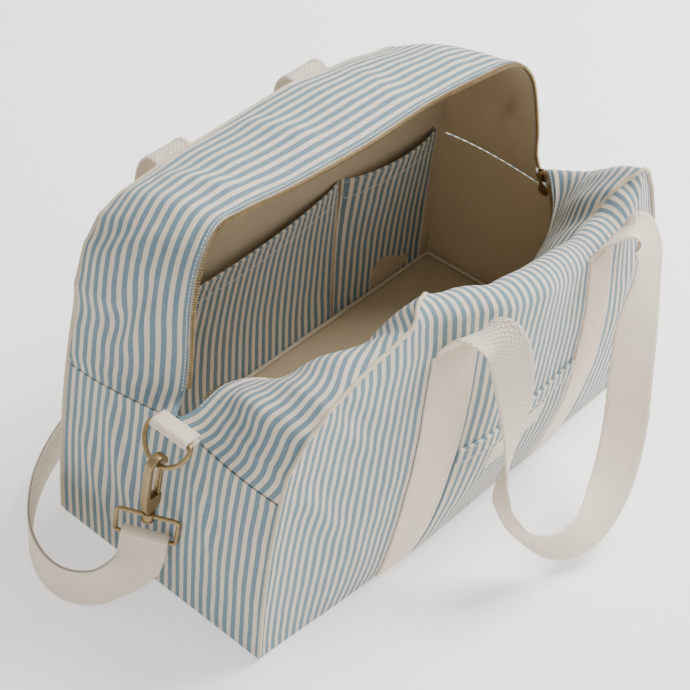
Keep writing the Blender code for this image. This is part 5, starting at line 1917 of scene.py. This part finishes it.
@dataclass
class Clip:
    """One end's hardware: the webbing tab, D-ring, snap hook, gate, swivel and strap ring."""

    name: str
    side: int

    def __post_init__(self) -> None:
        """Places the hardware under its tab."""
        self.out = np.array([self.side, 0.0, 0.0])
        self.root = end_point(self.side)
        self.bar = self.root + self.out * TAB_REACH + TAB_SHIFT
        tilt = math.radians(RING_OUT)
        self.down = self.out * math.sin(tilt) + np.array([0, 0, -math.cos(tilt)])
        self.bottom = self.bar + self.down * (RING_SIDE + RING_WIDTH / 2)
        self.up = unit([0.0, -0.14, 1.0])
        self.eye = self.bottom - self.up * (EYE_RADIUS - WIRE_RADIUS - 0.0011)

    def tab(self) -> None:
        """Makes the webbing tab folded over the D-ring's bar."""
        axis = np.array([0, 1.0, 0])
        lip = WIRE_RADIUS + FIT + WEB / 2
        inner = self.root + TAB_SHIFT + self.out * (TAB_ROOT - 0.003)
        rise = np.array([0, 0, 1.0])
        line = [inner + rise * lip, self.bar * 0.5 + inner * 0.5 + rise * lip]
        line += [self.bar + self.out * lip * math.cos(a) + rise * lip * math.sin(a)
                 for a in np.radians(spread(95, -95, 22))]
        line += [self.bar * 0.5 + inner * 0.5 - rise * lip, inner - rise * lip]
        over = []
        for k in range(len(line)):
            t = unit(line[min(k + 1, len(line) - 1)] - line[max(k - 1, 0)])
            over.append(np.cross(t, axis))
        profile, slots = web_profile(WEB_WIDTH, WEB)
        made = sweep("webbing_tab_" + self.name, line, [axis] * len(line), over, profile, (TWILL, TWILL),
                     slots=slots)
        finish_piece(made, "bag", ("ring_tab_" + self.name,))

    def ring(self) -> None:
        """Makes the D-ring."""
        axis = np.array([0, 1.0, 0])
        r, corner = RING_WIDTH / 2, 0.0035
        points = [self.bar + axis * (-r + corner + (2 * r - 2 * corner) * k / 8) for k in range(9)]
        bends = [(r - corner + corner * math.sin(a), corner * (1 - math.cos(a)))
                 for a in np.radians(spread(15, 75, 4))]
        points += [self.bar + axis * aside + self.down * drop for aside, drop in bends]
        points += [self.bar + self.down * (RING_SIDE + corner * 0.3) + axis * r * math.cos(a)
                   + self.down * r * math.sin(a) for a in np.radians(spread(0, 180, 48))]
        points += [self.bar - axis * aside + self.down * drop for aside, drop in reversed(bends)]
        made = tube("ring_" + self.name, points, WIRE_RADIUS, 18, BRASS, True)
        finish_piece(made, "d_ring_%s_body" % self.name, ("d_ring_" + self.name,))

    def gate_pivot(self) -> tuple:
        """The gate's pivot in the hook's plane."""
        return EYE_RADIUS + HOOK_WALL * 0.45 - GATE_THICKNESS / 2, -0.0035 - GATE_LENGTH

    def hook(self) -> None:
        """Makes the snap hook with its swivel stem, and its gate."""
        place = frame_matrix(self.eye, -self.out, self.up)
        outer = EYE_RADIUS + HOOK_WALL
        pivot = self.gate_pivot()
        seat = pivot[1] - GATE_THICKNESS / 2 - FIT
        right = pivot[0] + GATE_THICKNESS / 2 + 0.0012
        foot = -HOOK_LENGTH
        body = [(-outer * 0.99, -0.020), (-outer * 0.93, foot + 0.016), (-0.0072, foot + 0.006),
                (-0.0050, foot + 0.0014), (-0.0034, foot), (0.0034, foot), (0.0050, foot + 0.0014),
                (right - 0.0006, foot + 0.006), (right, foot + 0.009), (right, seat), (-0.0018, seat),
                (-0.0040, seat + 0.0022), (-EYE_RADIUS, seat + 0.006)]
        outline = arc(outer, -18, 180, 36) + body + arc(EYE_RADIUS, 180, -18, 30)
        parts = [plate("hook_plate", outline, HOOK_THICKNESS, place, BRASS, 0.0014)]
        low = self.eye - self.up * (HOOK_LENGTH - 0.0008)
        parts.append(tube("hook_stem", [low, low - self.up * (STEM_LENGTH + 0.0022)], STEM_RADIUS, 20, BRASS))
        head = low - self.up * (STEM_LENGTH + 0.0012)
        parts.append(tube("hook_head", [head, head - self.up * 0.0018], STEM_RADIUS + 0.0014, 24, BRASS))
        body = "hook_%s_body" % self.name
        finish_piece(join("hook_" + self.name, parts), body, ("snap_hook_" + self.name,))
        x, h = pivot
        half = GATE_THICKNESS / 2
        foot = [(x + half * math.cos(math.radians(a)), h + half * math.sin(math.radians(a)))
                for a in range(180, 361, 15)]
        top = h + GATE_LENGTH - 0.0006
        shape = foot + [(x + half, top - 0.0014), (x + half * 0.2, top), (x - half, top)]
        gate = plate("gate_" + self.name, shape, HOOK_THICKNESS - 0.0016, place, BRASS, 0.0006)
        finish_piece(gate, "gate_%s_body" % self.name, ("hook_gate_" + self.name,))

    def strap_ring(self) -> tuple:
        """Makes the swivelling strap ring; returns its lower bar's middle and direction.

        Returns:
            The lower bar's middle and direction.
        """
        turn = math.radians(LOOP_TURN) * -self.side
        bar_dir = np.array([-math.sin(turn), math.cos(turn), 0.0])
        bar_dir = unit(bar_dir - self.up * bar_dir.dot(self.up))
        top = self.eye - self.up * (HOOK_LENGTH + FIT)
        low = top - self.up * (STEM_LENGTH - 2 * FIT)
        middle = (top + low) / 2
        half, drop, soft = LOOP_WIDTH / 2, LOOP_HEIGHT, LOOP_SOFT
        points = [middle + bar_dir * half * k / 2.6 for k in (-2, -1, 0, 1, 2)]
        for sx, corner, start in ((1, 0.0, 90), (1, drop, 0), (-1, drop, -90), (-1, 0.0, 180)):
            fall = soft if corner == 0.0 else drop - soft
            centre = middle + bar_dir * sx * (half - soft) - self.up * fall
            points += [centre + bar_dir * soft * math.cos(a) + self.up * soft * math.sin(a)
                       for a in np.radians(spread(start, start - 90, 8))]
        parts = [tube("ring_wire", points, LOOP_WIRE, 16, BRASS, True),
                 tube("ring_collar", [top, low], COLLAR_RADIUS, 32, BRASS)]
        bead = self.up * 0.0006
        parts += [tube("ring_bead", [p - bead, p + bead], COLLAR_RADIUS + 0.0004, 32, BRASS)
                  for p in (top - self.up * 0.0010, low + self.up * 0.0010)]
        body = "strap_ring_%s_body" % self.name
        finish_piece(join("swivel_ring_" + self.name, parts), body, ("strap_ring_" + self.name,))
        return middle - self.up * drop, bar_dir

    def build(self) -> tuple:
        """Makes the hardware; returns the strap ring's lower bar and its directions.

        Returns:
            The bar's middle, its direction and the way up.
        """
        self.tab()
        self.ring()
        self.hook()
        bar, bar_dir = self.strap_ring()
        log.info("%s clip", self.name)
        return bar, bar_dir, self.up


# ---------------------------------------------------------------- shoulder strap
@dataclass
class ShoulderStrap:
    """The long strap: two layers of webbing clipped at both ends, with a dark sheet of painted shade between
    them, lying behind the bag, with its adjuster.
    """

    left: tuple
    right: tuple

    def wrap(self, centre: Array, axis: Array, up: Array, away: Sequence[float]) -> list:
        """The strap's end folded over a ring's lower bar, from inside the ring to outside.

        Args:
            centre: The bar's middle.
            axis: Along the bar.
            up: The way up.
            away: The way off the bag.

        Returns:
            The points of the fold.
        """
        r = LOOP_WIRE + 2 * FIT + STRAP_THICKNESS / 2
        away = unit(np.array(away) - axis * np.dot(away, axis) - up * np.dot(away, up))
        return [centre + r * (-away * math.cos(a) + up * math.sin(a))
                for a in np.radians(spread(-25, 180, WRAP_STEPS))]

    def build(self) -> None:
        """Makes the strap and its adjuster."""
        (left, left_dir, up), (right, right_dir, _) = self.left, self.right
        z = WEB_WIDTH / 2 + 0.0006
        lifted = z + 0.0030
        stand = np.array([0, 0, 1.0])
        start = self.wrap(left, left_dir, up, (-1.0, -0.6, 0))
        finish = self.wrap(right, right_dir, up, (1.0, -0.6, 0))[::-1]
        route = [left + np.array([-0.014, -0.003, -0.022]), (-HALF - 0.052, 0.012, 0.028),
                 (-HALF - 0.064, 0.036, z), (-HALF - 0.065, 0.063, z), (-HALF - 0.050, 0.095, z),
                 (-HALF - 0.017, 0.128, z), (-HALF + 0.025, SIDE + 0.040, z),
                 (-HALF + 0.075, SIDE + 0.058, z), (-0.5 * HALF, SIDE + 0.066, lifted),
                 (0.0, SIDE + 0.068, lifted), (0.5 * HALF, SIDE + 0.066, z),
                 (HALF - 0.045, SIDE + 0.056, z), (HALF + 0.010, SIDE + 0.030, z), (HALF + 0.045, 0.100, z),
                 (HALF + 0.066, 0.062, z), (HALF + 0.068, 0.034, z + 0.002),
                 right + np.array([0.013, 0.006, -0.009])]
        points = start + [np.array(p, float) for p in route] + finish
        path = Path(points)
        centres, across, over = [], [], []
        lie = 0.055
        for d in spread(0.0, path.length, 520):
            q = d / path.length
            t = path.tangent(q)
            near = min(1.0, max(0.0, (d - 0.014) / lie))
            far = min(1.0, max(0.0, (path.length - d - 0.014) / lie))
            first, turned = (left_dir, near) if d < path.length / 2 else (right_dir, far)
            w = first * (1 - turned) + stand * turned
            w = unit(w - t * w.dot(t))
            centres.append(path.at(q))
            across.append(w)
            over.append(np.cross(t, w))
        layer = STRAP_THICKNESS * 0.47
        profile, slots = web_profile(WEB_WIDTH, layer)
        parts = []
        for k, faces in ((-1, (BASKET, TWILL)), (1, (TWILL, BASKET))):
            middle = [c + o * k * (STRAP_THICKNESS - layer) / 2 for c, o in zip(centres, over)]
            parts.append(sweep("strap_layer", middle, across, over, profile, faces, slots=slots))
        # A dark sheet between the two layers: painted shade in the gap between them.
        x = WEB_WIDTH / 2 - 0.0005
        gap_shade = [(-x, -0.0005), (x, -0.0005), (x, 0.0005), (-x, 0.0005)]
        parts.append(sweep("strap_middle", centres, across, over, gap_shade, (STRAP_GAP_SHADE,)))
        strap = join("shoulder_strap_webbing", parts)
        finish_piece(strap, "bag", ("shoulder_strap",))
        rows = []
        for edge in (-1, 1):
            for face in (-1, 1):
                aside, out = edge * (WEB_WIDTH / 2 - STITCH_INSET), face * (STRAP_THICKNESS / 2 - 0.0001)
                line = [c + a * aside + o * out for c, a, o in zip(centres, across, over)]
                rows += stitch_places(line, [o * face for o in over])
        stitches = Row("shoulder_strap_stitches", STITCH, THREAD_WHITE, 0.1, 9).build(rows)
        finish_piece(stitches, "bag", ())
        adjuster = self.adjuster(path, stand)
        measured = float(np.linalg.norm(np.diff(np.array(centres), axis=0), axis=1).sum())
        tuple(centres[0])
        [tuple(map(float, c)) for c in centres]
        log.info("shoulder strap: %.3f m", measured)

    def adjuster(self, path: Path, stand: Array) -> bpy.types.Object:
        """Makes the keeper that slides on the strap.

        Args:
            path: The strap's line.
            stand: The way up.

        Returns:
            The keeper.
        """
        q = ADJUSTER_PLACE
        place = frame_matrix(path.at(q), np.cross(stand, path.tangent(q)), stand)
        inner_w, inner_h = STRAP_THICKNESS + 3 * FIT, WEB_WIDTH + 2 * FIT
        outer_w, outer_h = inner_w + 2 * LOOP_WIRE, inner_h + 2 * LOOP_WIRE
        shape = [(-outer_w / 2, -inner_h / 2 - 0.0012), (outer_w / 2, -inner_h / 2 - 0.0012),
                 (outer_w / 2, outer_h / 2), (-outer_w / 2, outer_h / 2)]
        hole = [(-inner_w / 2, -inner_h / 2), (inner_w / 2, -inner_h / 2), (inner_w / 2, inner_h / 2),
                (-inner_w / 2, inner_h / 2)]
        made = plate("strap_keeper", shape, ADJUSTER_LENGTH, place, BRASS, 0.0)
        made = combine(made, plate("slot", hole, ADJUSTER_LENGTH + 0.008, place, BRASS, 0.0), "DIFFERENCE")
        return finish_piece(made, "adjuster_body", ("strap_adjuster",))


# ---------------------------------------------------------------- studio
@dataclass
class Studio:
    """A pale floor, soft light from the right and above, and the camera."""

    azimuth: float = -51.5486
    elevation: float = 42.7776
    roll: float = 5.0
    distance: float = 1.6817
    target: tuple = (-0.0007, 0.014, 0.1)
    lens: float = 104.35
    floor: tuple = (0.92, 0.92, 0.92)
    glow: float = 0.55
    reach: float = 6.0
    ambient: float = 0.74
    lamps: tuple = (("key", (1.35, -0.35, 1.9), 1.2, 100.0), ("fill", (0.9, -2.2, 1.4), 1.8, 15.0))

    def build(self) -> None:
        """Makes the camera, floor and lights."""
        a, e, r = map(math.radians, (self.azimuth, self.elevation, self.roll))
        back = Vector((math.sin(a) * math.cos(e), -math.cos(a) * math.cos(e), math.sin(e)))
        right = Vector((math.cos(a), math.sin(a), 0.0))
        up = back.cross(right)
        across = math.cos(r) * right + math.sin(r) * up
        above = -math.sin(r) * right + math.cos(r) * up
        data = bpy.data.cameras.new("camera")
        data.lens, data.sensor_width, data.clip_end = self.lens, 36.0, 50.0
        camera = bpy.data.objects.new("camera", data)
        turn = Matrix((across, above, back)).transposed().to_4x4()
        camera.matrix_world = Matrix.Translation(Vector(self.target) + back * self.distance) @ turn
        bpy.context.scene.collection.objects.link(camera)
        bpy.context.scene.camera = camera
        r, z = self.reach, -CLEAR
        mesh = bpy.data.meshes.new("floor")
        mesh.from_pydata([(-r, -r, z), (r, -r, z), (r, r, z), (-r, r, z)], [], [(0, 1, 2, 3)])
        pale = Plain("floor", self.floor, 0.95).material()
        glow = pale.node_tree.nodes["Principled BSDF"].inputs
        glow["Emission Color"].default_value = (1.0, 1.0, 1.0, 1.0)
        glow["Emission Strength"].default_value = self.glow
        mesh.materials.append(pale)
        floor = bpy.data.objects.new("floor", mesh)
        bpy.context.scene.collection.objects.link(floor)
        for name, place, size, power in self.lamps:
            lamp = bpy.data.lights.new(name, "AREA")
            lamp.size, lamp.energy = size, power
            made = bpy.data.objects.new(name, lamp)
            made.location = place
            aim = Vector(self.target) - Vector(place)
            made.rotation_mode = "QUATERNION"
            made.rotation_quaternion = aim.to_track_quat("-Z", "Y")
            bpy.context.scene.collection.objects.link(made)
        world = bpy.data.worlds.new("studio")
        world.use_nodes = True
        sky = world.node_tree.nodes["Background"].inputs
        sky["Color"].default_value = (1.0, 1.0, 1.0, 1.0)
        sky["Strength"].default_value = self.ambient
        bpy.context.scene.world = world
        log.info("studio")


def main() -> None:
    """Builds the scene."""
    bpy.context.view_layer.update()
    Studio().build()
    weave_group()
    stripe_group()
    row_group()
    clips = [Clip("left", -1), Clip("right", 1)]
    strap = ShoulderStrap(*(clip.build() for clip in clips))
    strap.build()
    for assembly in (Walls(), ZipTop(), Seams(), Base(), Pockets(), Handles(), Slider()):
        assembly.build()


if __name__ == "__main__":
    main()
